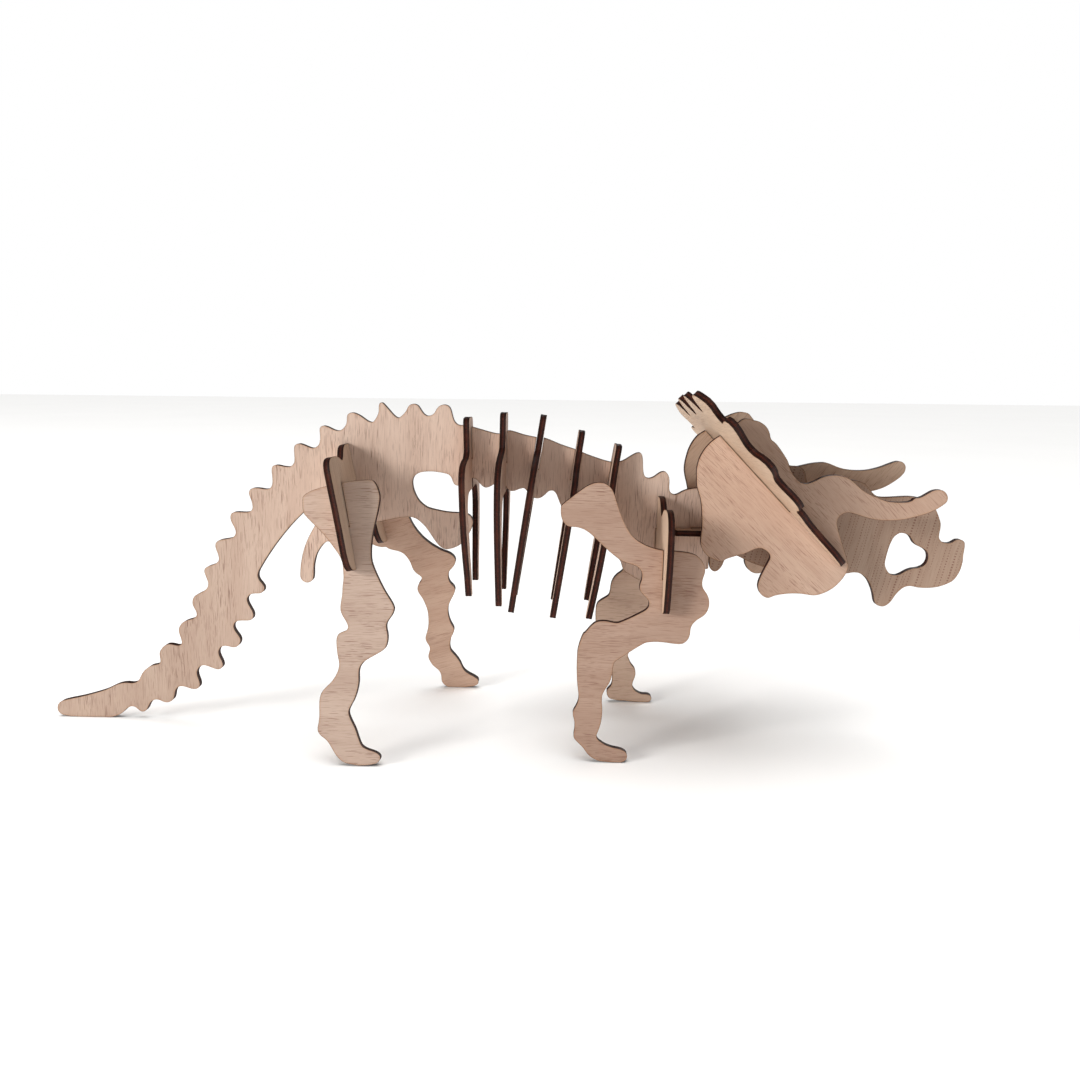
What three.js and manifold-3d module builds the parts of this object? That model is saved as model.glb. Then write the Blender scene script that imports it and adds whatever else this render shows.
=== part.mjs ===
// Flat-pack wooden dinosaur skeleton: seventeen plywood plates that slot into each other.
// Millimetres, +Z up, +X towards the beak, the backbone in the plane Y = 0, feet on Z = 0.
import * as THREE from 'three';
import { mergeVertices } from 'three/addons/utils/BufferGeometryUtils.js';
import Module from 'manifold-3d';

const wasm = await Module();
wasm.setup();

// ---------------------------------------------------------------- driving dimensions
const PLY = 3.0;               // thickness of the three-ply sheet
const PLAY = 0.3;              // clearance on each side of a plate in its slot
const SEAT = 0.15;             // half the gap left between the closed ends of two slots
const SLOT = PLY + 2 * PLAY;   // width of a slot

const HIP_TOP = [-74.3, 148.6];        // X, Z of the top of the hip plate's front face
const HIP_LEAN = 11.0;                 // degrees, top leans towards the tail
const SHOULDER_TOP = [81.75, 124.0];   // X, Z of the top of the shoulder plate's rear face
const SHOULDER_LEAN = -0.8;            // degrees, top leans towards the tail when positive

const HIND_NEAR = { foot: -53.6, splay: 9.6 };   // outer face at the ground, degrees outwards
const HIND_FAR = { foot: 52.9, splay: 11.0 };    // inner face at the ground
const FORE_NEAR = { foot: -44.1, splay: 3.5 };
const FORE_FAR = { foot: 34.6, splay: 3.5 };

const CHEEK_Y = 18.5;          // outer face of a cheek plate where it starts
const CHEEK_X = 112.46;        // X where that is measured
const CHEEK_SPREAD = 0.05;     // how fast the cheek plates open towards the horns

const FRILL_FOOT = [167.96, 93.96];    // X, Z of the lower end of the frill's rear face
const FRILL_UP = [-0.6935, 0.7204];    // direction from there to its crest
const FRILL_YAW = 1.4;                 // degrees, how far it sits out of square
const FRILL_DROOP = 0.17;              // how much lower the +Y half's crest runs, per mm outwards
const FRILL_SEAT = 36;                 // how far up the frill the cheek and skull slots meet

const BAR_Z = 106.5;           // middle plane of the neck bar
const BAR_X = [90.6, 125.6];   // its two ends
const BAR_HALF = 8.0;          // half its width
const NECK_END = 108.0;        // where backbone and skull meet

// ---------------------------------------------------------------- outlines
// Backbone with tail, neck, ischium hook and pubis finger: X, Z.
const SPINE = [
  [106.68, 128.33], [106.11, 128.58], [103.76, 128.65], [98.98, 128.35], [95.12, 127.34],
  [90.87, 125.21], [89.41, 125.23], [88.17, 126.08], [87.43, 127.42], [87.23, 132.18],
  [87, 133.74], [86.39, 135.2], [85.42, 136.36], [84.76, 136.68], [83.29, 136.6], [81.91, 135.88],
  [79.34, 134.01], [77.89, 133.39], [76.38, 133.31], [75.06, 134], [74.34, 135.32],
  [73.98, 136.87], [73.32, 144.03], [72.79, 145.43], [72.26, 145.88], [71.58, 146.06],
  [70.1, 145.73], [63.92, 142.09], [60.99, 140.89], [59.45, 140.84], [56.31, 141.43],
  [50.17, 143.25], [44.9, 145.13], [40.47, 146.97], [32.86, 149.46], [23.91, 152.85],
  [20.74, 152.94], [19.16, 153.2], [13.68, 154.35], [6.76, 156.29], [5.27, 156.16], [2.4, 154.83],
  [1.65, 154.65], [0.08, 154.71], [-5.36, 156.02], [-13.06, 158.19], [-15.42, 158.59],
  [-18.56, 158.71], [-19.83, 159.36], [-21.08, 160.95], [-22.9, 167], [-23.91, 168.12],
  [-25.35, 168.7], [-26.87, 168.63], [-28.3, 167.99], [-29.41, 166.9], [-31.15, 164.27],
  [-32.44, 163.46], [-33.94, 163.11], [-34.68, 163.21], [-35.98, 163.99], [-37, 165.2],
  [-38.74, 167.86], [-39.31, 168.36], [-40.75, 168.88], [-42.29, 168.74], [-43.58, 167.94],
  [-45.13, 165.23], [-47.31, 162.92], [-48.52, 162.07], [-49.2, 162.04], [-49.89, 162.29],
  [-51.13, 163.25], [-56.49, 169.13], [-57.06, 169.44], [-57.66, 169.38], [-58.17, 168.97],
  [-58.46, 168.35], [-58.74, 165.22], [-59.11, 163.7], [-61.14, 160.31], [-61.68, 159.86],
  [-62.37, 159.69], [-63.12, 159.76], [-64.56, 160.36], [-67.83, 162.64], [-69.96, 163.75],
  [-71.45, 164.26], [-72.98, 164.22], [-74.25, 163.45], [-74.61, 162.81], [-74.98, 159.68],
  [-75.44, 158.2], [-76.87, 156.34], [-78.16, 155.5], [-78.91, 155.31], [-80.47, 155.35],
  [-84.86, 157.2], [-86.36, 157.63], [-87.1, 157.61], [-87.78, 157.34], [-88.33, 156.84],
  [-88.68, 156.22], [-88.79, 155.52], [-88.68, 152.37], [-89.07, 149.21], [-89.7, 147.86],
  [-90.93, 146.9], [-92.38, 146.42], [-93.15, 146.43], [-99.12, 148.51], [-100.64, 148.32],
  [-101.29, 147.94], [-101.79, 147.39], [-102.06, 146.7], [-102.27, 139.61], [-102.51, 138.87],
  [-103.4, 137.59], [-104.71, 136.84], [-105.46, 136.77], [-107.83, 136.94], [-111.75, 137.57],
  [-113.18, 137.15], [-113.68, 136.63], [-114.08, 135.17], [-113.95, 131.18], [-114.14, 128],
  [-114.64, 126.55], [-115.13, 125.97], [-115.76, 125.55], [-117.25, 125.19], [-121.2, 125.65],
  [-123.58, 125.69], [-125.06, 125.29], [-125.65, 124.84], [-126.35, 123.5], [-126.4, 122.74],
  [-125.3, 118.96], [-125.04, 117.39], [-124.95, 115.8], [-125.34, 114.38], [-126.53, 113.49],
  [-128.06, 113.14], [-134.43, 113.08], [-135.82, 112.44], [-136.31, 111.87], [-136.69, 110.41],
  [-136.55, 108.84], [-134.5, 103.69], [-134.44, 102.15], [-134.67, 101.41], [-135.05, 100.75],
  [-136.24, 99.79], [-143.21, 98.24], [-144.56, 97.44], [-145.04, 96.86], [-145.33, 96.16],
  [-145.41, 94.61], [-144.15, 90.02], [-144.03, 88.46], [-144.18, 87.72], [-144.54, 87.04],
  [-145.7, 86.01], [-150.85, 83.86], [-151.89, 82.78], [-152.1, 81.3], [-150.6, 75.96],
  [-150.54, 75.18], [-150.8, 73.63], [-151.11, 72.92], [-152.13, 71.74], [-157.67, 68.56],
  [-158.25, 68.02], [-159.08, 66.7], [-159.48, 65.16], [-159.44, 63.59], [-157.74, 59.19],
  [-157.85, 57.7], [-158.25, 57.06], [-159.52, 56.19], [-163.3, 54.9], [-164.73, 54.2],
  [-165.99, 53.22], [-167.37, 51.3], [-167.81, 49.79], [-167.78, 48.22], [-166.85, 44.35],
  [-166.68, 42.82], [-166.89, 42.13], [-167.34, 41.58], [-168.7, 41.04], [-172.58, 41.68],
  [-174.14, 41.69], [-174.89, 41.48], [-176.25, 40.68], [-177.92, 38.99], [-178.73, 37.63],
  [-179.1, 36.11], [-178.99, 32.17], [-179.19, 31.45], [-179.61, 30.9], [-180.23, 30.56],
  [-184.06, 29.56], [-186.73, 27.83], [-189.01, 25.59], [-191.39, 21.48], [-192.54, 20.42],
  [-194.76, 19.64], [-198.72, 19.76], [-201.86, 19.22], [-204.1, 18.38], [-209.12, 15.91],
  [-214.39, 14.04], [-222.07, 11.79], [-233.72, 8.95], [-235.75, 7.74], [-236.71, 6.52],
  [-236.99, 5.79], [-237.2, 4.24], [-236.89, 2.74], [-235.94, 1.54], [-234.57, 0.82],
  [-232.23, 0.33], [-227.47, -0.29], [-221.87, -0.3], [-207.49, 0.19], [-204.45, 1.12],
  [-203.03, 1.85], [-201.73, 2.78], [-198.78, 5.45], [-197.39, 6.19], [-196.64, 6.39],
  [-195.87, 6.41], [-194.45, 5.87], [-192.69, 4.28], [-191.35, 3.51], [-190.61, 3.42],
  [-189.89, 3.58], [-189.24, 3.97], [-188.2, 5.13], [-186.24, 8.58], [-185.09, 9.66],
  [-183.7, 10.35], [-182.93, 10.48], [-181.38, 10.29], [-179.19, 9.36], [-177.67, 9.02],
  [-176.88, 9.04], [-175.37, 9.46], [-174.09, 10.36], [-173.24, 11.66], [-172.2, 15.5],
  [-171.46, 16.88], [-170.28, 17.88], [-169.58, 18.18], [-168.82, 18.31], [-167.25, 18.17],
  [-163.44, 17.01], [-161.88, 16.8], [-160.36, 17.09], [-159.7, 17.47], [-158.79, 18.67],
  [-158.6, 20.19], [-159.69, 24.84], [-159.72, 26.37], [-159.2, 27.85], [-158.28, 29.13],
  [-157.03, 30.02], [-155.52, 30.31], [-153.99, 29.99], [-148.75, 28.17], [-148, 28.15],
  [-146.61, 28.73], [-145.66, 29.91], [-145.47, 30.64], [-145.7, 32.16], [-147.3, 36.65],
  [-147.32, 38.18], [-146.75, 39.63], [-145.69, 40.75], [-144.28, 41.29], [-142.7, 41.25],
  [-139.59, 40.61], [-138.09, 40.72], [-136.75, 41.54], [-135.77, 42.75], [-135.31, 44.24],
  [-135.45, 45.78], [-138.2, 50.56], [-138.49, 52.08], [-138.39, 52.83], [-137.63, 54.15],
  [-136.37, 55], [-134.83, 55.32], [-130.05, 55.55], [-128.63, 56.11], [-128.11, 56.66],
  [-127.62, 58.1], [-127.75, 59.66], [-130.34, 65.44], [-130.49, 66.98], [-130.31, 67.7],
  [-129.42, 68.95], [-128.12, 69.81], [-126.59, 70.13], [-123.42, 70.36], [-122.06, 71.05],
  [-121.55, 71.62], [-121.21, 72.31], [-121.13, 73.82], [-121.82, 75.19], [-123.66, 77.76],
  [-124.13, 79.24], [-124.05, 80.79], [-123.51, 82.28], [-122.75, 83.69], [-118.38, 90.45],
  [-112.19, 98.87], [-104.31, 108], [-97.98, 114.15], [-91.33, 119.95], [-89.98, 120.72],
  [-88.46, 121.03], [-87.78, 120.98], [-87.27, 120.63], [-86.73, 119.29], [-86.96, 117.82],
  [-88.94, 113.45], [-93.6, 105.96], [-97.11, 99.69], [-99.52, 93.74], [-101.06, 87.58],
  [-101.8, 82.05], [-101.87, 79.68], [-101.37, 78.22], [-100.9, 77.61], [-99.63, 76.73],
  [-98.89, 76.53], [-98.13, 76.5], [-96.67, 77], [-95.55, 78.06], [-95.2, 78.74], [-94.93, 80.29],
  [-94.63, 85.08], [-93.82, 89], [-92.73, 92.01], [-90.59, 95.38], [-88.39, 97.69],
  [-87.07, 98.43], [-86.41, 98.43], [-84.76, 97.58], [-84.46, 97.97], [-83.75, 101.02],
  [-83.17, 102.43], [-80.11, 104.92], [-78, 105.98], [-74.18, 107.15], [-61.49, 108.83],
  [-48.96, 111.45], [-44.99, 111.84], [-42.62, 111.64], [-41.15, 111.1], [-39.8, 110.26],
  [-36.84, 107.58], [-35.37, 105.7], [-30.42, 98.43], [-28.78, 96.69], [-27.47, 95.8],
  [-26.04, 95.27], [-23.71, 95.52], [-20.69, 96.57], [-18.65, 97.78], [-16.35, 99.99],
  [-15.4, 101.26], [-13.73, 103.99], [-12.46, 106.92], [-12.04, 108.45], [-11.91, 110.01],
  [-12.32, 111.5], [-13.15, 112.8], [-13.75, 113.28], [-15.17, 113.9], [-25.52, 114.73],
  [-30.24, 115.58], [-34.87, 116.82], [-36.23, 117.58], [-38.68, 119.62], [-40.49, 122.24],
  [-41.47, 124.42], [-42.18, 126.7], [-42.48, 129.86], [-42.18, 131.39], [-41.48, 132.78],
  [-39.62, 134.21], [-38.16, 134.78], [-35.81, 135.19], [-32.61, 135.31], [-31.02, 135.22],
  [-25.5, 134.33], [-24.05, 133.82], [-22.95, 132.75], [-21.37, 129.17], [-20.86, 128.67],
  [-20.19, 128.37], [-19.45, 128.28], [-17.94, 128.6], [-16.58, 129.38], [-13.5, 131.85],
  [-12.03, 132.14], [-10.53, 131.9], [-9.91, 131.51], [-7.33, 128.52], [-6.04, 127.65],
  [-5.33, 127.45], [-3.88, 127.73], [0.4, 129.79], [1.95, 129.91], [3.43, 129.53], [4.07, 129.1],
  [6.09, 126.73], [7.4, 125.95], [8.87, 125.94], [12.64, 127.23], [14.07, 127.38], [14.64, 127.02],
  [17.21, 124.01], [18.46, 123.03], [19.88, 122.4], [21.43, 122.35], [22.89, 122.87],
  [24.21, 123.76], [26.5, 125.9], [27.19, 126.24], [28.65, 126.35], [29.32, 126.05],
  [29.86, 125.54], [30.66, 124.2], [32.8, 119.03], [33.59, 117.73], [34.93, 117], [41.66, 114.44],
  [43.08, 113.73], [47.67, 110.54], [52.08, 105.9], [63.2, 91.25], [64.01, 89.89], [64.95, 86.85],
  [65.72, 85.55], [69.62, 82.81], [73.85, 80.54], [77.49, 78.89], [79.73, 78.04], [84.43, 77.22],
  [86.79, 77.54], [90.68, 78.4], [96.33, 81.39], [101.74, 84.81], [104.54, 86.35], [105.99, 86.94],
  [108.18, 87.01], [108.61, 87.3], [108.77, 88.65], [107.03, 127.03],
];
// Skull keel with beak and nose: X, Z.
const SKULL = [
  [107.49, 128.23], [107.52, 133.82], [109.65, 140.69], [110.76, 142.78], [114.72, 147.81],
  [116.62, 149.22], [122.23, 152.24], [123.78, 152.46], [128.59, 152.52], [130.15, 152.4],
  [131.58, 151.77], [137.07, 148.48], [146.24, 140.78], [147.72, 140.35], [151.68, 139.95],
  [153.05, 139.26], [153.6, 138.72], [154.47, 137.4], [154.99, 135.91], [155.47, 133.58],
  [156.13, 132.15], [157.12, 130.94], [157.74, 130.46], [159.85, 129.37], [161.39, 129.15],
  [165.37, 129.3], [174.97, 133.23], [177.32, 133.65], [178.9, 133.64], [181.25, 133.15],
  [184.24, 132.08], [186.06, 130.57], [189.22, 126.99], [190.52, 126.08], [191.97, 125.47],
  [193.53, 125.22], [196.73, 125.19], [207.12, 125.81], [209.51, 125.69], [211.88, 125.33],
  [213.4, 124.85], [216.36, 123.64], [218.44, 122.45], [219.69, 121.51], [220.14, 120.89],
  [223.91, 112.94], [224.22, 110.59], [223.87, 105.82], [224, 105.07], [224.74, 103.71],
  [225.92, 102.76], [227.43, 102.36], [229, 102.23], [230.49, 102.64], [232.47, 103.9],
  [233.21, 104.15], [234.76, 104.18], [236.17, 103.57], [236.71, 103.03], [237.07, 102.38],
  [237.24, 100.84], [237, 96.04], [237.01, 92.84], [236.83, 91.26], [236.13, 88.15],
  [234.84, 85.23], [233.98, 83.89], [232.91, 82.71], [231.62, 81.82], [227.23, 79.91],
  [224.13, 79.17], [220.16, 78.81], [216.16, 78.96], [211.48, 79.71], [209.94, 79.41],
  [208.5, 78.78], [207.25, 77.79], [205.64, 76.02], [204.7, 74.73], [203.12, 71.95],
  [202.14, 70.69], [200.31, 69.18], [198.85, 68.7], [196.56, 69.12], [195.25, 69.89],
  [194.47, 71.22], [193.45, 75.08], [192.69, 77.36], [190.58, 81.66], [189.65, 82.96],
  [187.92, 84.61], [186.6, 85.51], [185.16, 86.14], [183.59, 86.35], [182, 86.32], [178.88, 85.75],
  [174.22, 86.55], [165.48, 85.47], [157.52, 84.68], [147.96, 85.55], [141.71, 86.98],
  [137.88, 88.15], [128.83, 91.39], [123.78, 93.81], [120.81, 94.95], [120.07, 95.06],
  [118.66, 94.6], [117.51, 93.61], [115.49, 88.46], [114.56, 87.21], [113.39, 86.15],
  [112.75, 85.83], [112.03, 85.78], [111.3, 85.95], [110.64, 86.3], [110.13, 86.84],
  [109.75, 87.51], [109.37, 89.03],
];
// Opening through the beak end of the skull: X, Z.
const SKULL_HOLE = [
  [203.71, 106.9], [204.44, 107.16], [205.99, 107.11], [207.52, 106.64], [208.91, 105.88],
  [209.95, 104.71], [211.2, 102.66], [212.32, 101.53], [213.67, 100.68], [216.57, 99.29],
  [217.87, 98.37], [218.86, 97.14], [219.16, 96.42], [219.42, 94.86], [219.28, 93.28],
  [218.71, 91.81], [217.72, 90.58], [217.09, 90.1], [214.87, 89.21], [212.5, 88.86],
  [210.96, 88.44], [209.49, 87.8], [206.03, 85.76], [204.53, 85.27], [203.74, 85.23],
  [202.17, 85.48], [201.44, 85.76], [200.18, 86.7], [199.25, 87.99], [198.5, 89.41],
  [198.07, 90.92], [198.05, 91.71], [199.36, 99.63], [199.81, 101.17], [201.34, 104.86],
  [202.4, 106],
];
// Hind leg on the -Y side: X, height up the leg.
const NEAR_HIND = [
  [-89.27, 128.05], [-88.29, 129.2], [-86.27, 130.48], [-84.09, 131.48], [-81.82, 132.25],
  [-74.09, 134.34], [-69.39, 135.37], [-63.84, 136.14], [-59.05, 136.54], [-57.47, 136.58],
  [-56.72, 136.44], [-56.04, 136.12], [-55.47, 135.62], [-54.25, 133.59], [-53.16, 130.59],
  [-52.87, 129.04], [-53, 125.85], [-55.82, 111.71], [-56.48, 106.96], [-56.69, 103.76],
  [-56.52, 98.97], [-55.65, 95.91], [-53.42, 90.76], [-50.12, 84.36], [-45.93, 77.54],
  [-45.47, 76.06], [-45.49, 75.28], [-46.23, 73.03], [-48.4, 69.69], [-48.98, 68.23],
  [-49.02, 66.68], [-48.42, 63.54], [-48.34, 61.15], [-48.75, 58.8], [-49.33, 57.33],
  [-50.32, 56.11], [-51.59, 55.15], [-59.09, 50.56], [-60.25, 49.47], [-61.54, 47.47],
  [-61.92, 45.96], [-62, 40.36], [-62.87, 35.65], [-64.17, 31.87], [-66.33, 27.59],
  [-66.66, 26.07], [-66.4, 24.54], [-63.39, 18], [-61.24, 11.97], [-60.55, 10.55], [-60.06, 9.93],
  [-58.81, 9], [-53.57, 7.04], [-52.21, 6.25], [-51.68, 5.69], [-51.36, 5.02], [-51.3, 4.29],
  [-51.51, 3.57], [-51.91, 2.92], [-53.09, 1.91], [-54.57, 1.38], [-57.71, 0.79], [-61.68, 0.53],
  [-67.2, 1.45], [-69.41, 2.34], [-70.66, 3.31], [-72.29, 5.06], [-76.54, 11.76], [-77.65, 12.9],
  [-80.14, 14.88], [-81.04, 16.16], [-81.31, 16.89], [-81.39, 18.44], [-80.98, 20.8],
  [-80.66, 23.99], [-80.64, 31.18], [-80, 34.29], [-78.83, 36.35], [-74.96, 40.39],
  [-74.03, 41.65], [-72.45, 44.42], [-71.51, 47.47], [-71.38, 49.04], [-72.23, 53.75],
  [-72.73, 58.52], [-72.77, 60.12], [-72.55, 61.69], [-71.88, 63.08], [-71.34, 63.61],
  [-68.48, 64.89], [-67.87, 65.3], [-67.46, 65.89], [-67.31, 66.59], [-67.4, 67.34],
  [-67.99, 68.8], [-70.39, 72.94], [-70.89, 74.44], [-70.97, 75.22], [-70.95, 76.81],
  [-70.2, 82.32], [-70.07, 85.51], [-69.66, 89.48], [-69.71, 91.88], [-70.19, 96.63],
  [-70.63, 98.15], [-71.61, 100.34], [-72.46, 101.68], [-79.37, 110.5], [-88.37, 119.59],
  [-89.01, 120.99], [-89.4, 123.35], [-89.48, 126.54],
];
// Hind leg on the +Y side, cut to its own outline, in another stride: X, height up the leg.
const FAR_HIND = [
  [-50.36, 107.76], [-48.03, 102.67], [-44.83, 98.07], [-43.26, 96.27], [-39.04, 92.58],
  [-37.74, 91.67], [-33.61, 89.2], [-29.91, 87.7], [-28.51, 86.98], [-26.76, 85.39],
  [-26.01, 84.03], [-25.78, 82.53], [-26.22, 81.04], [-26.98, 79.65], [-29.44, 76.52],
  [-30.03, 75.06], [-30.25, 73.49], [-30.19, 71.9], [-29.79, 70.38], [-29.05, 68.98],
  [-27.49, 67.21], [-27.09, 66.55], [-26.67, 65.05], [-26.71, 64.3], [-27.75, 61.39],
  [-29.2, 58.58], [-30.12, 56.36], [-30.82, 54.07], [-31.09, 52.49], [-31.17, 50.1],
  [-30.59, 46.15], [-29.88, 43.86], [-28.53, 40.96], [-28.1, 39.46], [-28.25, 37.92],
  [-29.81, 34.27], [-30.7, 30.38], [-30.88, 28.8], [-30.82, 27.21], [-30.49, 25.67],
  [-30.14, 24.97], [-27.28, 21.13], [-25.98, 19.11], [-24.94, 16.95], [-23.84, 13.95],
  [-22.62, 11.91], [-20.86, 10.3], [-16.14, 7.29], [-15.01, 6.24], [-14.69, 5.57], [-14.57, 4.83],
  [-14.91, 3.34], [-15.34, 2.72], [-15.93, 2.25], [-18.12, 1.32], [-23.63, 0.41], [-25.22, 0.34],
  [-29.21, 0.66], [-32.38, 0.63], [-33.14, 0.77], [-34.49, 1.5], [-35.55, 2.67], [-36.32, 4.04],
  [-36.61, 5.59], [-36.77, 8.76], [-37.55, 11.01], [-38.43, 12.33], [-40.75, 14.51],
  [-41.77, 15.73], [-43.2, 18.57], [-43.72, 20.08], [-43.81, 21.63], [-42.85, 25.5],
  [-42.76, 27.04], [-43.26, 28.52], [-44.65, 31.38], [-44.97, 32.93], [-44.96, 33.72],
  [-43.66, 38.32], [-42.99, 41.44], [-42.75, 44.64], [-42.85, 50.24], [-43.26, 52.59],
  [-44.73, 57.17], [-45.7, 59.36], [-47.63, 62.85], [-48.07, 64.37], [-48.11, 65.15],
  [-48.04, 65.94], [-47.56, 67.44], [-45.59, 70.88], [-45.42, 71.62], [-45.49, 72.32],
  [-45.87, 72.91], [-48.33, 74.89], [-49.36, 76.09], [-50.09, 77.5], [-51.62, 82.04],
  [-52.77, 84.14], [-53.69, 85.45], [-54.77, 86.61], [-56.78, 87.87], [-62.92, 89.58],
  [-64.71, 90.7], [-66.56, 90.53], [-69.68, 91.09], [-71.15, 91.68], [-74.66, 93.59],
  [-75.89, 94.57], [-78.86, 98.34], [-79.79, 99.63], [-80.43, 101.07], [-82.14, 107.23],
  [-82.16, 109.61], [-81.78, 114.4], [-81.5, 115.95], [-79.06, 120.98], [-78.19, 122.28],
  [-77.62, 122.82], [-73.14, 126.19], [-71.72, 126.86], [-66.34, 128.42], [-63.98, 128.67],
  [-59.22, 128.41], [-57.85, 127.72], [-55.32, 125.76], [-54.21, 124.66], [-52.83, 121.8],
  [-52.01, 119.56], [-51.3, 110.8],
];
// Fore leg with shoulder blade on the -Y side: X, height up the leg.
const NEAR_FORE = [
  [33.1, 124.97], [34.11, 126.08], [36.61, 128.08], [43.56, 133.47], [44.91, 134.32],
  [47.82, 135.63], [49.36, 135.98], [50.94, 136.06], [53.25, 135.55], [55.22, 134.27],
  [56.72, 132.42], [57.42, 131.01], [60.32, 122.7], [62.54, 117.56], [64.83, 113.35],
  [68.03, 109.81], [72.09, 107.27], [75.05, 106.08], [77.34, 105.37], [82.03, 104.41],
  [87.62, 104.2], [92.4, 103.71], [95.48, 102.91], [96.88, 102.22], [98.63, 100.61],
  [99.55, 99.33], [100.53, 97.17], [100.77, 94.82], [99.79, 90.99], [99.7, 88.61], [100.1, 87.09],
  [101.88, 84.47], [102.88, 82.32], [103.26, 79.97], [103.03, 77.6], [102.13, 75.39],
  [101.18, 74.15], [97.34, 71.3], [95.76, 69.52], [95.39, 68.83], [94.95, 67.31], [94.62, 64.15],
  [94.05, 62.69], [93.18, 61.39], [91.95, 60.42], [91.23, 60.12], [89.67, 59.91], [80.98, 60.77],
  [76.21, 60.69], [73.87, 60.23], [72.46, 59.51], [61.19, 51.91], [59.92, 50.96], [59.42, 50.4],
  [59.1, 49.72], [58.19, 43.42], [57.81, 41.87], [56.88, 39.68], [54.81, 36.27], [53.96, 34.04],
  [53.81, 32.48], [54.1, 26.89], [53.98, 23.71], [53.58, 20.6], [52.53, 16.78], [51.72, 14.55],
  [51.63, 13.8], [51.75, 13.05], [52.57, 11.77], [53.81, 10.78], [55.85, 9.52], [58.83, 8.37],
  [63.48, 7.35], [64.92, 6.68], [65.56, 6.22], [66.06, 5.65], [66.4, 4.97], [66.53, 3.45],
  [66.33, 2.71], [65.95, 2.05], [65.4, 1.52], [64.01, 0.81], [62.45, 0.58], [60.86, 0.57],
  [53.74, 1.11], [51.49, 1.86], [49.41, 3.04], [47.58, 4.57], [45.23, 7.79], [41.33, 11.77],
  [40.88, 12.4], [40.5, 13.88], [40.88, 17.02], [40.8, 20.96], [40.08, 24.04], [40.02, 25.57],
  [40.25, 26.32], [41.74, 29.12], [42.27, 30.62], [42.59, 32.17], [42.29, 36.91], [41.96, 39.25],
  [41.6, 45.63], [41.61, 51.22], [41.81, 55.94], [42.68, 59.77], [44.36, 64.13], [44.54, 64.42],
  [44.91, 64.51], [45.32, 64.92], [47.87, 67.94], [49.67, 69.52], [51.07, 70.14], [54.23, 70.51],
  [59.73, 69.66], [61.24, 69.82], [71.29, 74.74], [73.33, 75.97], [74.45, 77.05], [74.79, 77.7],
  [75.02, 79.23], [74.96, 79.98], [74.24, 81.29], [71.49, 84.17], [70.68, 85.45], [70.47, 87.77],
  [71.3, 90.82], [71.44, 92.4], [71.2, 93.92], [70.02, 95.94], [68.78, 96.82], [65.8, 97.96],
  [62.73, 98.85], [61.35, 99.58], [53.21, 106.05], [46.8, 112.07], [44.14, 113.83],
  [42.69, 114.45], [40.36, 115.03], [36.44, 115.36], [35.12, 116.12], [33.75, 118.03],
  [33.03, 120.3], [32.85, 123.48],
];
// Fore leg with shoulder blade on the +Y side: X, height up the leg.
const FAR_FORE = [
  [67.46, 79.09], [68.09, 80.5], [69, 83.57], [69.13, 84.34], [68.96, 85.89], [66.41, 95.98],
  [61.85, 107.09], [60.13, 114.88], [60.17, 115.66], [60.54, 117.2], [61.7, 121.02],
  [62.06, 121.68], [63.24, 122.65], [66.01, 124.26], [67.42, 124.94], [68.17, 125.09],
  [72.91, 124.6], [74.36, 124.11], [74.97, 123.64], [78.35, 120.23], [79.32, 118.99],
  [82.77, 111.77], [87.68, 104.47], [88.82, 103.38], [95.4, 98.82], [96.84, 98.14],
  [103.58, 95.65], [107.45, 92.82], [108.53, 91.71], [108.87, 91.02], [110.43, 85.66],
  [110.44, 84.1], [109.09, 76.22], [109.22, 74.65], [110.25, 69.14], [110.29, 67.58],
  [107.67, 60.07], [106.66, 58.89], [101.8, 54.74], [97.96, 48.66], [95.03, 44.85], [93.97, 43.69],
  [92.61, 42.9], [86.75, 40.33], [79.55, 36.81], [78.25, 35.89], [73.99, 32.25], [72.92, 31.08],
  [72.17, 29.73], [72.14, 28.24], [72.9, 25.99], [73.94, 23.82], [75.84, 21.28], [76.48, 19.89],
  [76.58, 16.73], [75.27, 12.13], [75.21, 10.57], [75.38, 9.81], [75.68, 9.09], [76.6, 7.81],
  [78.49, 6.37], [80.7, 5.5], [83.87, 5.29], [84.62, 5.11], [85.3, 4.76], [85.84, 4.24],
  [86.19, 3.59], [86.3, 2.86], [86.18, 2.11], [85.85, 1.43], [85.35, 0.88], [83.96, 0.29],
  [79.18, 0.22], [76.82, 0.59], [73.63, 0.75], [71.26, 1.1], [67.28, 1.24], [63.41, 2.03],
  [62.69, 2.29], [62.08, 2.73], [61.61, 3.32], [60.74, 5.51], [60.79, 7.05], [61.05, 7.77],
  [62.98, 10.24], [63.45, 11.7], [63.53, 15.69], [62.94, 22.87], [60.38, 30.44], [56.6, 37.5],
  [54.08, 43.38], [53.26, 50.53], [53.32, 56.13], [53.64, 58.5], [54.29, 59.89], [55.38, 61.03],
  [59.34, 63.72], [59.93, 64.2], [60.35, 64.8], [60.75, 66.29], [61.4, 71.05], [61.86, 72.58],
  [62.5, 74.03], [63.39, 75.35], [64.45, 76.54],
];
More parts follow.
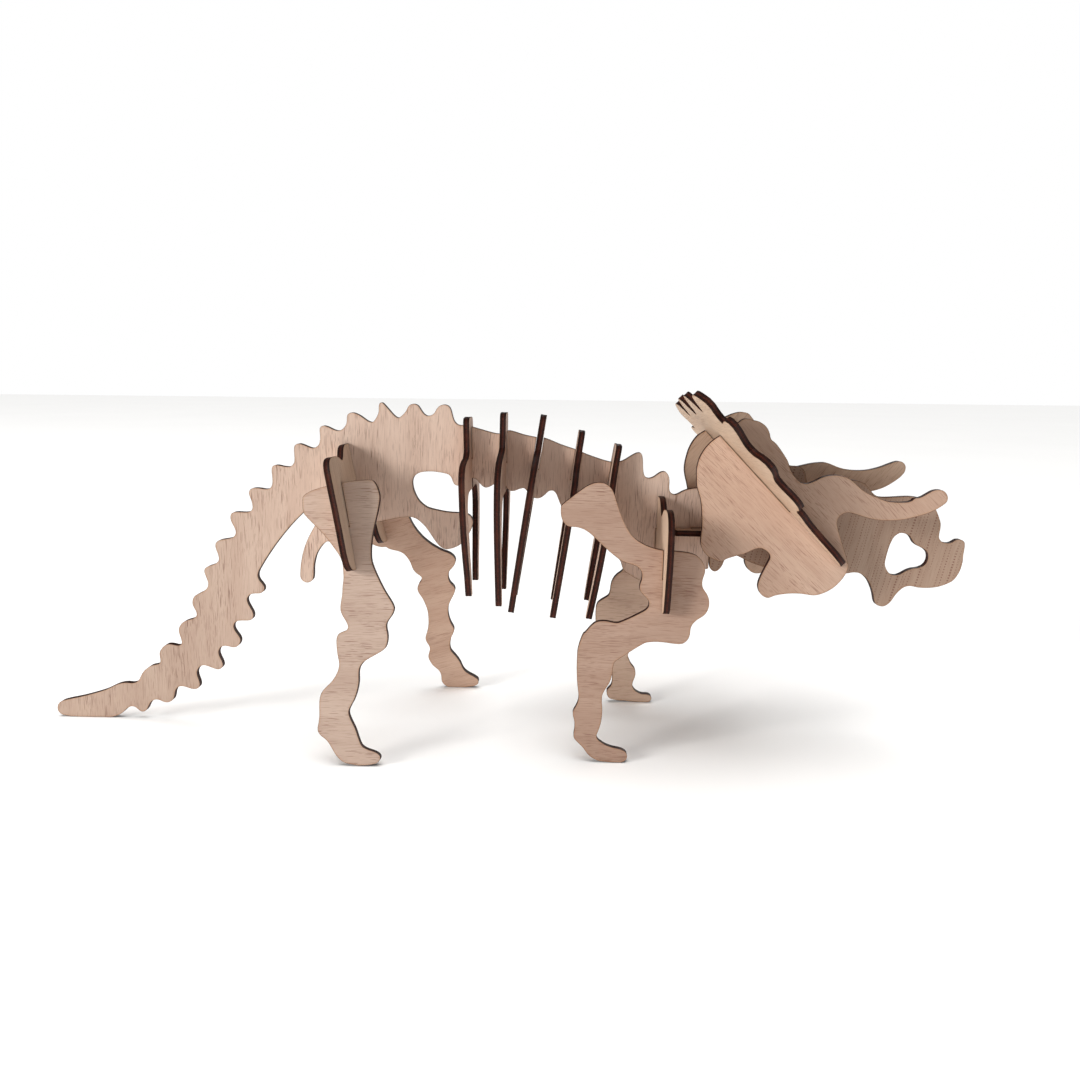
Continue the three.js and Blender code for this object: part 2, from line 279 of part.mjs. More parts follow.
// Cheek and brow horn on the -Y side: X, Z.
const NEAR_CHEEK = [
  [108.16, 156.01], [104.36, 153.1], [101.29, 149.42], [99.09, 145.18], [98.64, 143.65],
  [98.06, 140.51], [98.08, 136.52], [98.5, 131.75], [100.59, 124.88], [101.39, 119.34],
  [101.8, 111.35], [101.48, 105.77], [101.68, 102.6], [102.98, 99.71], [103.98, 98.5],
  [105.76, 96.9], [107.11, 96.11], [111.59, 94.55], [112.17, 94.49], [113.7, 95.67],
  [118.9, 97.69], [122.73, 98.8], [127.78, 101.22], [129.27, 101.74], [130.8, 101.77],
  [132.26, 101.2], [133.6, 100.37], [134.68, 99.23], [135.08, 98.58], [135.29, 97.88],
  [135.28, 97.13], [134.82, 95.62], [132.84, 91.25], [131.04, 86.8], [130.4, 84.49],
  [130.24, 82.92], [130.48, 81.37], [131.49, 79.25], [133.25, 77.69], [134.69, 77.07],
  [135.43, 76.97], [136.16, 77.11], [138.33, 78.07], [140.64, 78.7], [146.18, 79.51],
  [150.97, 79.57], [157.33, 78.93], [158.9, 79.11], [161.92, 80.13], [164.72, 81.67],
  [167.22, 83.65], [169.35, 86.03], [170.71, 88], [172.18, 90.83], [172.57, 92.36],
  [172.76, 93.94], [172.73, 94.72], [172.33, 96.24], [167.16, 110.54], [166.04, 114.37],
  [165.97, 115.95], [166.35, 117.43], [167.26, 118.7], [168.51, 119.63], [170, 120.13],
  [171.57, 120.2], [180.8, 117.64], [185.54, 116.89], [190.33, 116.79], [195.11, 117.18],
  [199.03, 118], [202.89, 119.05], [206.67, 120.36], [209.61, 121.61], [214.88, 125.22],
  [215.91, 126.38], [216.21, 127.09], [216.24, 128.61], [215.99, 129.36], [215.17, 130.69],
  [213.95, 131.65], [213.22, 131.93], [211.67, 132.11], [209.37, 131.65], [204.61, 128.75],
  [203.14, 128.15], [201.02, 127.68], [200.05, 126.72], [198.67, 126.11], [197.1, 125.85],
  [193.91, 125.71], [190.71, 125.83], [189.13, 126.04], [185.31, 127.2], [180.87, 129.02],
  [178.72, 130.08], [176.69, 131.34], [170.46, 136.32], [167.5, 137.51], [164.37, 138.13],
  [162, 138.06], [158.09, 137.26], [153.13, 134.7], [150.89, 133.9], [149.32, 133.83],
  [147.79, 134.19], [147.07, 134.51], [145.87, 135.5], [143.36, 138.61], [142.22, 140.7],
  [140.79, 144.43], [139.55, 146.47], [137.69, 149.07], [134.69, 152.81], [132.35, 154.81],
  [131.4, 157.78], [130.31, 159.89], [128.66, 161.6], [125.91, 163.15], [123.59, 163.57],
  [121.3, 164.2], [119.75, 164.23], [119, 164.03], [117.64, 163.25], [113.55, 159.47],
];
// Cheek and brow horn on the +Y side: X, Z.
const FAR_CHEEK = [
  [107.29, 156.51], [111.45, 160.23], [115.57, 162.7], [117.71, 163.79], [120.65, 165.05],
  [123.73, 165.88], [125.3, 166], [126.89, 165.82], [128.4, 165.37], [129.05, 164.97],
  [130.12, 163.82], [135.95, 156.18], [140.25, 149.43], [143.03, 145.51], [144.54, 143.65],
  [148.44, 139.65], [150.48, 138.41], [151.91, 137.78], [153.44, 137.77], [156.61, 138.25],
  [163.63, 139.83], [166.81, 140.21], [170, 140.37], [171.55, 140.11], [177.55, 137.88],
  [181.42, 136.87], [185.39, 136.38], [188.59, 136.27], [191.79, 136.4], [194.17, 136.7],
  [197.29, 137.4], [200.36, 138.33], [207.1, 140.88], [208.63, 141.24], [209.41, 141.25],
  [210.92, 140.86], [212.1, 139.9], [212.86, 138.56], [212.94, 137.05], [212.51, 135.55],
  [211.13, 133.62], [209.37, 132], [206.79, 130.11], [204.09, 128.38], [201.95, 127.3],
  [198.94, 126.21], [195.85, 125.43], [189.45, 125.2], [183.06, 125.62], [169.65, 127.96],
  [164.9, 128.57], [163.37, 128.34], [161.22, 127.33], [160.06, 126.27], [159.06, 125.05],
  [158.57, 123.61], [158.47, 122.03], [158.8, 120.51], [160.87, 115.3], [163.42, 107.71],
  [164.77, 102.27], [164.96, 100.71], [164.85, 99.94], [164.18, 97.64], [163.55, 96.2],
  [161.13, 93.03], [160.03, 91.87], [154.88, 88.09], [149.84, 85.64], [143.93, 83.18],
  [140.42, 81.29], [138.9, 80.86], [137.34, 80.84], [135.09, 81.56], [133.83, 82.5],
  [132.75, 83.65], [132.32, 84.32], [131.33, 86.47], [131.18, 88.01], [131.46, 90.39],
  [134.05, 100.44], [133.9, 102], [133.42, 103.46], [132.34, 104.49], [130.93, 105.18],
  [130.18, 105.32], [127.8, 105.25], [126.23, 105], [120.29, 102.65], [113.87, 99.37],
  [110.15, 98.02], [108.62, 98.16], [106.4, 98.92], [105.8, 99.4], [104.32, 101.26],
  [103.15, 103.31], [101.47, 109.49], [100.15, 119.82], [98.97, 126.93], [97.25, 133.91],
  [96.96, 136.29], [97.02, 138.68], [98.27, 144.95], [99.33, 147.97], [100.81, 150.81],
  [101.71, 152.13], [103.28, 153.92], [104.54, 154.88],
];

// The hip and shoulder plates are symmetric; half outlines in Y, distance down the plate.
const HIP_HALF = [
  [0, -0.4], [6, -0.5], [9.5, -0.3], [12.6, 0.8], [15.2, 2.8], [17.4, 5.0], [19.9, 6.3], [22.3, 5.6],
  [25.2, 4.4], [29.6, 3.6], [36, 3.3], [40, 3.9], [42.6, 5.6], [44.1, 8.4], [45.0, 15.7], [45.9, 26.9],
  [46.9, 36.1], [48.0, 44.5], [48.3, 49], [47.5, 53], [45.2, 55.6], [41.5, 56.8], [36, 57.2], [30, 57.2],
  [25.2, 56.6], [21.6, 54.6], [19.3, 51.4], [18.2, 47.6], [17.4, 43.8], [15, 40.8], [11, 39.2], [6, 38.7],
  [0, 38.6]];
const SHOULDER_HALF = [
  [0, -0.3], [6, -0.4], [9.5, -0.1], [12.4, 1.0], [15, 3.2], [17.2, 5.6], [19.8, 6.8], [22.4, 6.0],
  [25.4, 4.0], [29.4, 2.4], [34, 1.6], [39, 1.4], [43, 2.4], [46.2, 5.2], [48.2, 9.4], [49.2, 15],
  [49.5, 22], [48.9, 30], [47.9, 38], [47.0, 44], [45.9, 47.6], [43.5, 49.3], [39, 49.6], [30, 49.4],
  [25.4, 48.6], [22, 46], [20, 42], [18.2, 37.6], [15, 34.6], [10.5, 33.3], [5, 33], [0, 33]];

// The ribs are upturned U shapes.  Each has its own lean and flare.
// top and foot: X, Z of the middle plane; outer edge: half width, Z; arch: Z under the bridge.
const RIBS = [
  { name: 'rib_1', top: [-14.25, 162.50], foot: [-12.46, 75.1], arch: 127.0, spine: 157.2,
    outer: [[9.6, 150], [10.4, 146], [14.5, 143.6], [22, 142.6], [29, 141], [33.6, 138], [35.4, 133.5],
      [35.4, 126], [34.6, 116], [31.8, 106], [27.5, 95.5], [22.6, 85]], end: 19.6 },
  { name: 'rib_2', top: [3.91, 165.00], foot: [2.52, 70.3], arch: 125.6, spine: 155.2,
    outer: [[9.4, 153], [10.6, 148.4], [15, 146.8], [24, 145], [33, 142.6], [38.6, 138.6], [41.2, 133],
      [41.4, 126], [39.9, 117], [36.6, 107], [32.2, 96.5], [26.6, 84]], end: 20.2 },
  { name: 'rib_3', top: [23.76, 164.0], foot: [8.65, 67.2], arch: 122.0, spine: 152.6,
    outer: [[9.4, 153], [10.8, 147.6], [16, 145.4], [25, 143.4], [33, 140], [37.4, 135], [39, 128],
      [38.4, 118], [36, 106], [31.6, 94], [26, 80]], end: 20.0 },
  { name: 'rib_4', top: [42.85, 156.5], foot: [29.54, 64.8], arch: 118.0, spine: 145.7,
    outer: [[9.4, 146], [11, 140.6], [15.4, 137.6], [21.6, 134.6], [26.4, 130], [29.4, 123], [30.6, 113],
      [30.2, 103], [28, 92], [24.4, 79]], end: 20.2 },
  { name: 'rib_5', top: [61.21, 149.9], foot: [47.5, 64.7], arch: 113.4, spine: 140.8,
    outer: [[9.4, 140], [11.4, 134.6], [14.2, 129.6], [18.6, 125], [23.4, 119.6], [27.2, 112], [28.8, 102],
      [28.4, 92], [25.6, 79]], end: 20.6 },
];

// The frill is a scalloped shield; half outline in Y, distance up the plate.
const FRILL_HALF = [
  [0, -2.2], [18, -2.0], [23, -0.6], [26.6, 2.6], [28.6, 7], [29.3, 12], [29.6, 18], [30.6, 24], [33, 30.2],
  [36.4, 35.2], [37, 38.2], [40.6, 40], [47.4, 41.6], [52.6, 44.6], [54.8, 48.6], [53.8, 52.6], [52.2, 56.4],
  [53, 60.2], [57.4, 63.2], [63, 66], [66.8, 69.4], [67.2, 72.8], [63.4, 75.2], [58, 76.6], [55.6, 78.8],
  [56.6, 82], [61, 86], [65.6, 90], [68.4, 93.6], [67.6, 96.4], [63, 97.4], [56, 96.2], [52, 95.4],
  [51.6, 98], [53.6, 101.4], [56.4, 104.6], [56, 107.8], [52.4, 109.6], [47, 111.6], [41, 112.2],
  [35.6, 110.8], [31.6, 107.2], [28.8, 102.6], [26.4, 101.2], [24, 103.2], [21, 107.8], [17, 111],
  [12.6, 111.6], [8.6, 109.4], [5.4, 104.4], [2.6, 100], [0, 99]];

// ---------------------------------------------------------------- helpers
const rad = THREE.MathUtils.degToRad;
const V = (x, y, z) => new THREE.Vector3(x, y, z);

// A plate's frame: origin, two directions in the plate, and the normal they make.
function frame(o, u, v) {
  const n = new THREE.Vector3().crossVectors(u, v).normalize();
  const m = new THREE.Matrix4().makeBasis(u, v, n).setPosition(o);
  return { o, u, v, n, m };
}

function toSolid(geometry) {
  let g = geometry.index ? geometry.toNonIndexed() : geometry.clone();
  g.deleteAttribute('normal');
  g.deleteAttribute('uv');
  g = mergeVertices(g, 1e-4);
  return new wasm.Manifold(new wasm.Mesh({
    numProp: 3,
    vertProperties: Float32Array.from(g.attributes.position.array),
    triVerts: Uint32Array.from(g.index.array),
  }));
}

function toGeometry(solid) {
  const mesh = solid.getMesh();
  const g = new THREE.BufferGeometry();
  g.setAttribute('position', new THREE.BufferAttribute(Float32Array.from(mesh.vertProperties), 3));
  g.setIndex(new THREE.BufferAttribute(Uint32Array.from(mesh.triVerts), 1));
  return g;
}

// Drops corners that lie on the line between their neighbours, and runs the outline anticlockwise.
function tidy(outline) {
  let pts = outline.slice();
  for (;;) {
    const n = pts.length;
    const keep = pts.filter(([x, y], i) => {
      const [px, py] = pts[(i + n - 1) % n], [qx, qy] = pts[(i + 1) % n];
      return Math.abs((x - px) * (qy - y) - (y - py) * (qx - x)) > 1e-3;
    });
    if (keep.length === n) break;
    pts = keep;
  }
  const out = pts.map(([a, b]) => new THREE.Vector2(a, b));
  return THREE.ShapeUtils.isClockWise(out) ? out.reverse() : out;
}

// A sheet cut to an outline, lying in frame f between the heights n0 and n1 along its normal.
function sheet(outline, holes, f, n0, n1) {
  const shape = new THREE.Shape(tidy(outline));
  for (const h of holes) shape.holes.push(new THREE.Path(tidy(h)));
  const g = new THREE.ExtrudeGeometry(shape, { depth: n1 - n0, bevelEnabled: false, steps: 1 });
  g.translate(0, 0, n0);
  g.applyMatrix4(f.m);
  return toSolid(g);
}

// A box given by its middle, three directions and three lengths, used to cut a slot.
function block(mid, a, b, c, la, lb, lc) {
  const g = new THREE.BoxGeometry(la, lb, lc);
  const cc = new THREE.Vector3().crossVectors(a, b);
  g.applyMatrix4(new THREE.Matrix4().makeBasis(a, b, cc).setPosition(mid));
  return toSolid(g);
}

// A slot that follows plate f: open from the point p along direction d for a length.
function slotFor(f, nMid, p, d, length, across = 60) {
  const side = new THREE.Vector3().crossVectors(f.n, d).normalize();
  const dist = p.clone().sub(f.o).dot(f.n) - nMid;
  const onPlane = p.clone().addScaledVector(f.n, -dist);
  const mid = onPlane.addScaledVector(d, length / 2);
  return block(mid, f.n, d, side, SLOT, length, across);
}

const bodies = {};
const mirrorHalf = (half) => half.concat(half.slice(1, -1).reverse().map(([a, b]) => [-a, b]));

// ---------------------------------------------------------------- backbone and skull
const midF = frame(V(0, 0, 0), V(1, 0, 0), V(0, 0, 1));   // normal points to -Y
let spine = sheet(SPINE, [], midF, -PLY / 2, PLY / 2);
let skull = sheet(SKULL, [SKULL_HOLE], midF, -PLY / 2, PLY / 2);

// ---------------------------------------------------------------- hip plate
const hipUp = V(-Math.sin(rad(HIP_LEAN)), 0, Math.cos(rad(HIP_LEAN)));
const hipF = frame(V(HIP_TOP[0], 0, HIP_TOP[1]), V(0, 1, 0), hipUp);   // normal points to +X
const hipMid = -PLY / 2;
let hip = sheet(mirrorHalf(HIP_HALF).map(([y, s]) => [y, -s]), [], hipF, -PLY, 0);
const down = (f, s, nMid) => f.o.clone().addScaledVector(f.v, -s).addScaledVector(f.n, nMid);
const HIP_MEET = 19.5;
spine = spine.subtract(slotFor(hipF, hipMid, down(hipF, HIP_MEET - SEAT, hipMid), hipUp.clone().negate(), 60));
hip = hip.subtract(slotFor(midF, 0, down(hipF, HIP_MEET + SEAT, hipMid), hipUp, 40));

// ---------------------------------------------------------------- shoulder plate
const shUp = V(-Math.sin(rad(SHOULDER_LEAN)), 0, Math.cos(rad(SHOULDER_LEAN)));
const shF = frame(V(SHOULDER_TOP[0], 0, SHOULDER_TOP[1]), V(0, 1, 0), shUp);
const shMid = PLY / 2;
let shoulder = sheet(mirrorHalf(SHOULDER_HALF).map(([y, s]) => [y, -s]), [], shF, 0, PLY);
const SHOULDER_MEET = 16.5;
spine = spine.subtract(slotFor(shF, shMid, down(shF, SHOULDER_MEET - SEAT, shMid), shUp.clone().negate(), 60));
shoulder = shoulder.subtract(slotFor(midF, 0, down(shF, SHOULDER_MEET + SEAT, shMid), shUp, 40));

// ---------------------------------------------------------------- legs
// A leg stands on the ground and leans inwards as it goes up.  Its sole is planed flat.
const ground = block(V(0, 0, -10), V(1, 0, 0), V(0, 1, 0), V(0, 0, 1), 800, 400, 20);
const SOLE = 0.3;              // how much of a rounded sole is planed off
function leg(outline, cfg, near) {
  const s = Math.sin(rad(cfg.splay)), c = Math.cos(rad(cfg.splay));
  const up = V(0, near ? s : -s, c);
  const f0 = frame(V(0, cfg.foot, 0), V(1, 0, 0), up);
  let solid = sheet(outline, [], f0, -PLY, 0);
  const low = solid.boundingBox().min[2];
  const f = frame(V(0, cfg.foot, -low - SOLE), V(1, 0, 0), up);
  solid = sheet(outline, [], f, -PLY, 0).subtract(ground);
  return { f, mid: -PLY / 2, solid };
}
// Point where the leg's middle plane, the cross plate's middle plane and the depth s meet.
function crossing(legPart, f, nMid, s) {
  const p = down(f, s, nMid);
  const d = legPart.f.o.clone().addScaledVector(legPart.f.n, legPart.mid).sub(p).dot(legPart.f.n);
  return p.addScaledVector(f.u, d / f.u.dot(legPart.f.n));
}
function fitLeg(legPart, plate, f, nMid, meet) {
  const d = new THREE.Vector3().crossVectors(f.n, legPart.f.n).normalize();
  if (d.z < 0) d.negate();
  const p = crossing(legPart, f, nMid, meet);
  legPart.slide = d.clone();
  legPart.solid = legPart.solid.subtract(slotFor(f, nMid, p.clone().addScaledVector(d, -SEAT), d, 60));
  return plate.subtract(slotFor(legPart.f, legPart.mid, p.clone().addScaledVector(d, SEAT), d.clone().negate(), 60, 12));
}
const hindNear = leg(NEAR_HIND, HIND_NEAR, true);
const hindFar = leg(FAR_HIND, HIND_FAR, false);
const foreNear = leg(NEAR_FORE, FORE_NEAR, true);
const foreFar = leg(FAR_FORE, FORE_FAR, false);
const HIND_MEET = 37, FORE_MEET = 34;
hip = fitLeg(hindNear, hip, hipF, hipMid, HIND_MEET);
hip = fitLeg(hindFar, hip, hipF, hipMid, HIND_MEET + 2);
shoulder = fitLeg(foreNear, shoulder, shF, shMid, FORE_MEET);
shoulder = fitLeg(foreFar, shoulder, shF, shMid, FORE_MEET);

// ---------------------------------------------------------------- ribs
const ribs = RIBS.map((r) => {
  const up = V(r.top[0] - r.foot[0], 0, r.top[1] - r.foot[1]).normalize();
  const f = frame(V(r.foot[0], 0, r.foot[1]), V(0, 1, 0), up);
  const h = (z) => (z - r.foot[1]) / up.z;              // height up the rib from its foot
  const t = h(r.top[1]);
  const half = [[0, t], [5.6, t], [7.6, t - 0.5], [8.8, t - 1.8], [9.1, t - 4]];
  for (const [y, z] of r.outer) half.push([y, h(z)]);
  const wTip = 5.2;
  half.push([r.end, 0.8], [r.end - 0.8, 0], [r.end - wTip + 0.6, 0], [r.end - wTip, 0.8]);
  // the inside edge follows the outside one, a leg's width in
  const inner = [];
  for (let i = r.outer.length - 1; i >= 0; i -= 1) {
    const [y, z] = r.outer[i];
    const k = Math.min(1, (z - r.foot[1]) / 30);
    const w = wTip + k * 4.8;
    if (z < r.arch - 9) inner.push([y - w, h(z)]);
  }
  half.push(...inner);
  const last = half[half.length - 1];
  const ya = last[0];
  half.push([ya - 0.6, h(r.arch - 5)], [ya - 3.4, h(r.arch - 1.6)], [ya - 7.5, h(r.arch)], [0, h(r.arch)]);
  const meet = h((r.spine + r.arch) / 2);
  let solid = sheet(mirrorHalf(half), [], f, -PLY / 2, PLY / 2);
  const at = (v) => f.o.clone().addScaledVector(f.v, v);
  solid = solid.subtract(slotFor(midF, 0, at(meet + SEAT), up.clone().negate(), 40, 20));
  spine = spine.subtract(slotFor(f, 0, at(meet - SEAT), up, 40));
  return { name: r.name, f, solid, travel: meet - h(r.arch) };
});

// ---------------------------------------------------------------- neck bar
const barF = frame(V(0, 0, BAR_Z), V(1, 0, 0), V(0, 1, 0));   // lies flat
const B0 = BAR_X[0], B1 = BAR_X[1], R = 1.2;
const barOutline = [[B0 + R, -BAR_HALF], [B1 - R, -BAR_HALF], [B1, -BAR_HALF + R], [B1, BAR_HALF - R],
  [B1 - R, BAR_HALF], [B0 + R, BAR_HALF], [B0, BAR_HALF - R], [B0, -BAR_HALF + R]];
let bar = sheet(barOutline, [], barF, -PLY / 2, PLY / 2);
const REAR_MEET = (B0 + NECK_END) / 2, FRONT_MEET = (B1 + NECK_END) / 2 + 0.6;
const ex = V(1, 0, 0), exn = V(-1, 0, 0);
spine = spine.subtract(slotFor(barF, 0, V(REAR_MEET - SEAT, 0, BAR_Z), ex, 30));
bar = bar.subtract(slotFor(midF, 0, V(REAR_MEET + SEAT, 0, BAR_Z), exn, 30, 10));
skull = skull.subtract(slotFor(barF, 0, V(FRONT_MEET + SEAT, 0, BAR_Z), exn, 30));
bar = bar.subtract(slotFor(midF, 0, V(FRONT_MEET - SEAT, 0, BAR_Z), ex, 30, 10));

// ---------------------------------------------------------------- frill and cheeks
const fUp = V(FRILL_UP[0], 0, FRILL_UP[1]).normalize();
const fN0 = V(FRILL_UP[1], 0, -FRILL_UP[0]).normalize();     // towards the beak and up
const yaw = rad(FRILL_YAW);
// across the frill, square to its slope, turned a little so its -Y half sits forward
const fAcross = V(0, 1, 0).multiplyScalar(Math.cos(yaw)).addScaledVector(fN0, -Math.sin(yaw));
const frillF = frame(V(FRILL_FOOT[0], 0, FRILL_FOOT[1]), fAcross, fUp);
const front = frillF.n.dot(fN0) > 0 ? 1 : -1;
// the crest of the +Y half is cut lower than the -Y half's
const ease = (t) => { const c = Math.min(1, Math.max(0, t)); return c * c * (3 - 2 * c); };
const crest = ([y, s]) => [y, y > 0 ? s - FRILL_DROOP * y * ease((s - 50) / 35) : s];
let frill = sheet(mirrorHalf(FRILL_HALF).map(crest), [], frillF, front > 0 ? 0 : -PLY, front > 0 ? PLY : 0);
const frillMid = front * PLY / 2;
const onFrill = (s) => frillF.o.clone().addScaledVector(frillF.v, s).addScaledVector(frillF.n, frillMid);
skull = skull.subtract(slotFor(frillF, frillMid, onFrill(FRILL_SEAT - SEAT), fUp, 90));
frill = frill.subtract(slotFor(midF, 0, onFrill(FRILL_SEAT + SEAT), fUp.clone().negate(), 60, 16));

function cheek(outline, near) {
  const k = near ? -CHEEK_SPREAD : CHEEK_SPREAD;
  const len = Math.hypot(1, k);
  const u = V(1 / len, k / len, 0);
  const y0 = (near ? -CHEEK_Y : CHEEK_Y - PLY) - k * CHEEK_X;
  const f = frame(V(0, y0, 0), u, V(0, 0, 1));            // normal points to -Y
  const solid = sheet(outline.map(([a, b]) => [a * len, b]), [], f, -PLY, 0);
  return { f, mid: -PLY / 2, solid };
}
const cheekNear = cheek(NEAR_CHEEK, true);
const cheekFar = cheek(FAR_CHEEK, false);
for (const ck of [cheekNear, cheekFar]) {
  const d = new THREE.Vector3().crossVectors(frillF.n, ck.f.n).normalize();
  if (d.z < 0) d.negate();
  // point on both middle planes, at the seat height
  const p = onFrill(FRILL_SEAT);
  const dist = ck.f.o.clone().addScaledVector(ck.f.n, ck.mid).sub(p).dot(ck.f.n);
  p.addScaledVector(frillF.u, dist / frillF.u.dot(ck.f.n));
  ck.slide = d.clone();
  ck.solid = ck.solid.subtract(slotFor(frillF, frillMid, p.clone().addScaledVector(d, -SEAT), d, 90));
  frill = frill.subtract(slotFor(ck.f, ck.mid, p.clone().addScaledVector(d, SEAT), d.clone().negate(), 60, 14));
}

// The tail's underside is planed flat where it touches down.
spine = spine.subtract(ground);

// ---------------------------------------------------------------- scene graph
const wood = (color) => new THREE.MeshStandardMaterial({ color, roughness: 0.78, metalness: 0 });
function mesh(name, solid, f, color) {
  const g = toGeometry(solid);
  g.applyMatrix4(f.m.clone().invert());
  g.computeVertexNormals();
  const m = new THREE.Mesh(g, wood(color));
  m.name = name;
  m.position.copy(f.o);
  m.quaternion.setFromRotationMatrix(f.m);
  return m;
}
const group = (...meshes) => { const g = new THREE.Group(); g.add(...meshes); return g; };

const hindQuarters = group(
  mesh('hip_plate', hip, hipF, 0xc3a48c),
  mesh('hind_leg_near', hindNear.solid, hindNear.f, 0xccb39c),
  mesh('hind_leg_far', hindFar.solid, hindFar.f, 0xb59a86));
const foreQuarters = group(
  mesh('shoulder_plate', shoulder, shF, 0xcdb094),
  mesh('fore_leg_near', foreNear.solid, foreNear.f, 0xc4a890),
  mesh('fore_leg_far', foreFar.solid, foreFar.f, 0xb89c88));
const ribCage = group(...ribs.map((r) => mesh(r.name, r.solid, r.f, 0x9a7560)));
const head = group(
  mesh('neck_bar', bar, barF, 0xa58268),
  mesh('skull_plate', skull, midF, 0xa78d7b),
  mesh('frill_plate', frill, frillF, 0xdcc3a6),
  mesh('cheek_plate_near', cheekNear.solid, cheekNear.f, 0xc9a98c),
  mesh('cheek_plate_far', cheekFar.solid, cheekFar.f, 0x9b806f));

const dinosaur = new THREE.Group();
dinosaur.add(mesh('spine_plate', spine, midF, 0xc6ab98), hindQuarters, foreQuarters, ribCage, head);

export default dinosaur;
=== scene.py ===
import bpy, bmesh, math
import numpy as np
from mathutils import Vector, Matrix
from mathutils.geometry import delaunay_2d_cdt


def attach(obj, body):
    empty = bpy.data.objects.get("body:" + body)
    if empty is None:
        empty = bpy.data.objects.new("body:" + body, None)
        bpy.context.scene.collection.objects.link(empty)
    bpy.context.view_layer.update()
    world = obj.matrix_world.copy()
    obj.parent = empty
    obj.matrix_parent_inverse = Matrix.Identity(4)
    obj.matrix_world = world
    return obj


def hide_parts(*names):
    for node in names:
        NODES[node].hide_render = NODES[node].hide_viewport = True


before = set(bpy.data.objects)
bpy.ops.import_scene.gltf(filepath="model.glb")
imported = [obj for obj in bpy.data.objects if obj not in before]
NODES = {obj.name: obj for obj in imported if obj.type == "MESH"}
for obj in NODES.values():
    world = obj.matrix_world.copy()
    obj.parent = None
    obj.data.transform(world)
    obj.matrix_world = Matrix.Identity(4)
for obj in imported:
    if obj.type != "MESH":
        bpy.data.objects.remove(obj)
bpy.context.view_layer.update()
scene = bpy.context.scene

# ------------------------------------------------------------------ camera
# A phone lens, low and near, looking slightly down across the model's side.
FOCAL = 850.0                                  # on a 1080 wide frame
CAM_AT = Vector((0.032455, -0.428, 0.183761))
Yc = np.array([22 / FOCAL, -165 / FOCAL, 1.0]); Yc /= np.linalg.norm(Yc)
Uc = np.array([0.0, -1.0, 0.0]); Uc -= (Uc @ Yc) * Yc; Uc /= np.linalg.norm(Uc)
lean = math.radians(0.85)
U1 = Uc * math.cos(lean) + np.cross(Yc, Uc) * math.sin(lean)
if U1[0] < 0:
    U1 = Uc * math.cos(lean) - np.cross(Yc, Uc) * math.sin(lean)
Xc = np.cross(Yc, U1)
Rw = np.stack([Xc, Yc, U1], 1)                 # columns: world axes as the camera sees them
right, down, fwd = Rw[0], Rw[1], Rw[2]
cam_data = bpy.data.cameras.new("camera")
cam_data.sensor_width = 36.0
cam_data.lens = FOCAL / 1080 * 36.0
cam_data.clip_start, cam_data.clip_end = 0.01, 50.0
cam = bpy.data.objects.new("camera", cam_data)
scene.collection.objects.link(cam)
M = Matrix.Identity(4)
for r in range(3):
    M[r][0], M[r][1], M[r][2] = right[r], -down[r], -fwd[r]
    M[r][3] = CAM_AT[r]
cam.matrix_world = M
scene.camera = cam


# ------------------------------------------------------------------ node helpers
def new_material(name):
    m = bpy.data.materials.new(name)
    m.use_nodes = True
    nt = m.node_tree
    for n in list(nt.nodes):
        nt.nodes.remove(n)
    out = nt.nodes.new("ShaderNodeOutputMaterial")
    bsdf = nt.nodes.new("ShaderNodeBsdfPrincipled")
    nt.links.new(bsdf.outputs["BSDF"], out.inputs["Surface"])
    return m, nt, bsdf


class Net:
    def __init__(s, nt):
        s.nt = nt

    def node(s, kind, **kw):
        n = s.nt.nodes.new(kind)
        for k, v in kw.items():
            setattr(n, k, v)
        return n

    def put(s, socket, v):
        if isinstance(v, bpy.types.NodeSocket):
            s.nt.links.new(v, socket)
        elif isinstance(v, (tuple, list)) and len(v) == 3 and len(socket.default_value) == 4:
            socket.default_value = (*v, 1.0)
        else:
            socket.default_value = v

    def math(s, op, a, b=0.0, c=0.0, clamp=False):
        n = s.node("ShaderNodeMath", operation=op, use_clamp=clamp)
        s.put(n.inputs[0], a); s.put(n.inputs[1], b); s.put(n.inputs[2], c)
        return n.outputs[0]

    def step(s, v, lo, hi, to_lo=0.0, to_hi=1.0):
        n = s.node("ShaderNodeMapRange", interpolation_type="SMOOTHSTEP")
        s.put(n.inputs["Value"], v)
        s.put(n.inputs["From Min"], lo); s.put(n.inputs["From Max"], hi)
        s.put(n.inputs["To Min"], to_lo); s.put(n.inputs["To Max"], to_hi)
        return n.outputs["Result"]

    def vec(s, x, y, z=0.0):
        n = s.node("ShaderNodeCombineXYZ")
        s.put(n.inputs[0], x); s.put(n.inputs[1], y); s.put(n.inputs[2], z)
        return n.outputs[0]

    def noise(s, v, scale=1.0, detail=2.0, rough=0.5):
        n = s.node("ShaderNodeTexNoise", noise_dimensions="3D")
        s.put(n.inputs["Vector"], v); n.inputs["Scale"].default_value = scale
        n.inputs["Detail"].default_value = detail; n.inputs["Roughness"].default_value = rough
        return n.outputs["Fac"]

    def mix(s, f, a, b, blend="MIX"):
        n = s.node("ShaderNodeMix", data_type="RGBA", blend_type=blend)
        s.put(n.inputs["Factor"], f)
        s.put(n.inputs[6], a); s.put(n.inputs[7], b)
        return n.outputs[2]


def srgb(r, g, b):
    f = lambda c: (c / 255 / 12.92) if c / 255 <= 0.04045 else ((c / 255 + 0.055) / 1.055) ** 2.4
    return (f(r), f(g), f(b))


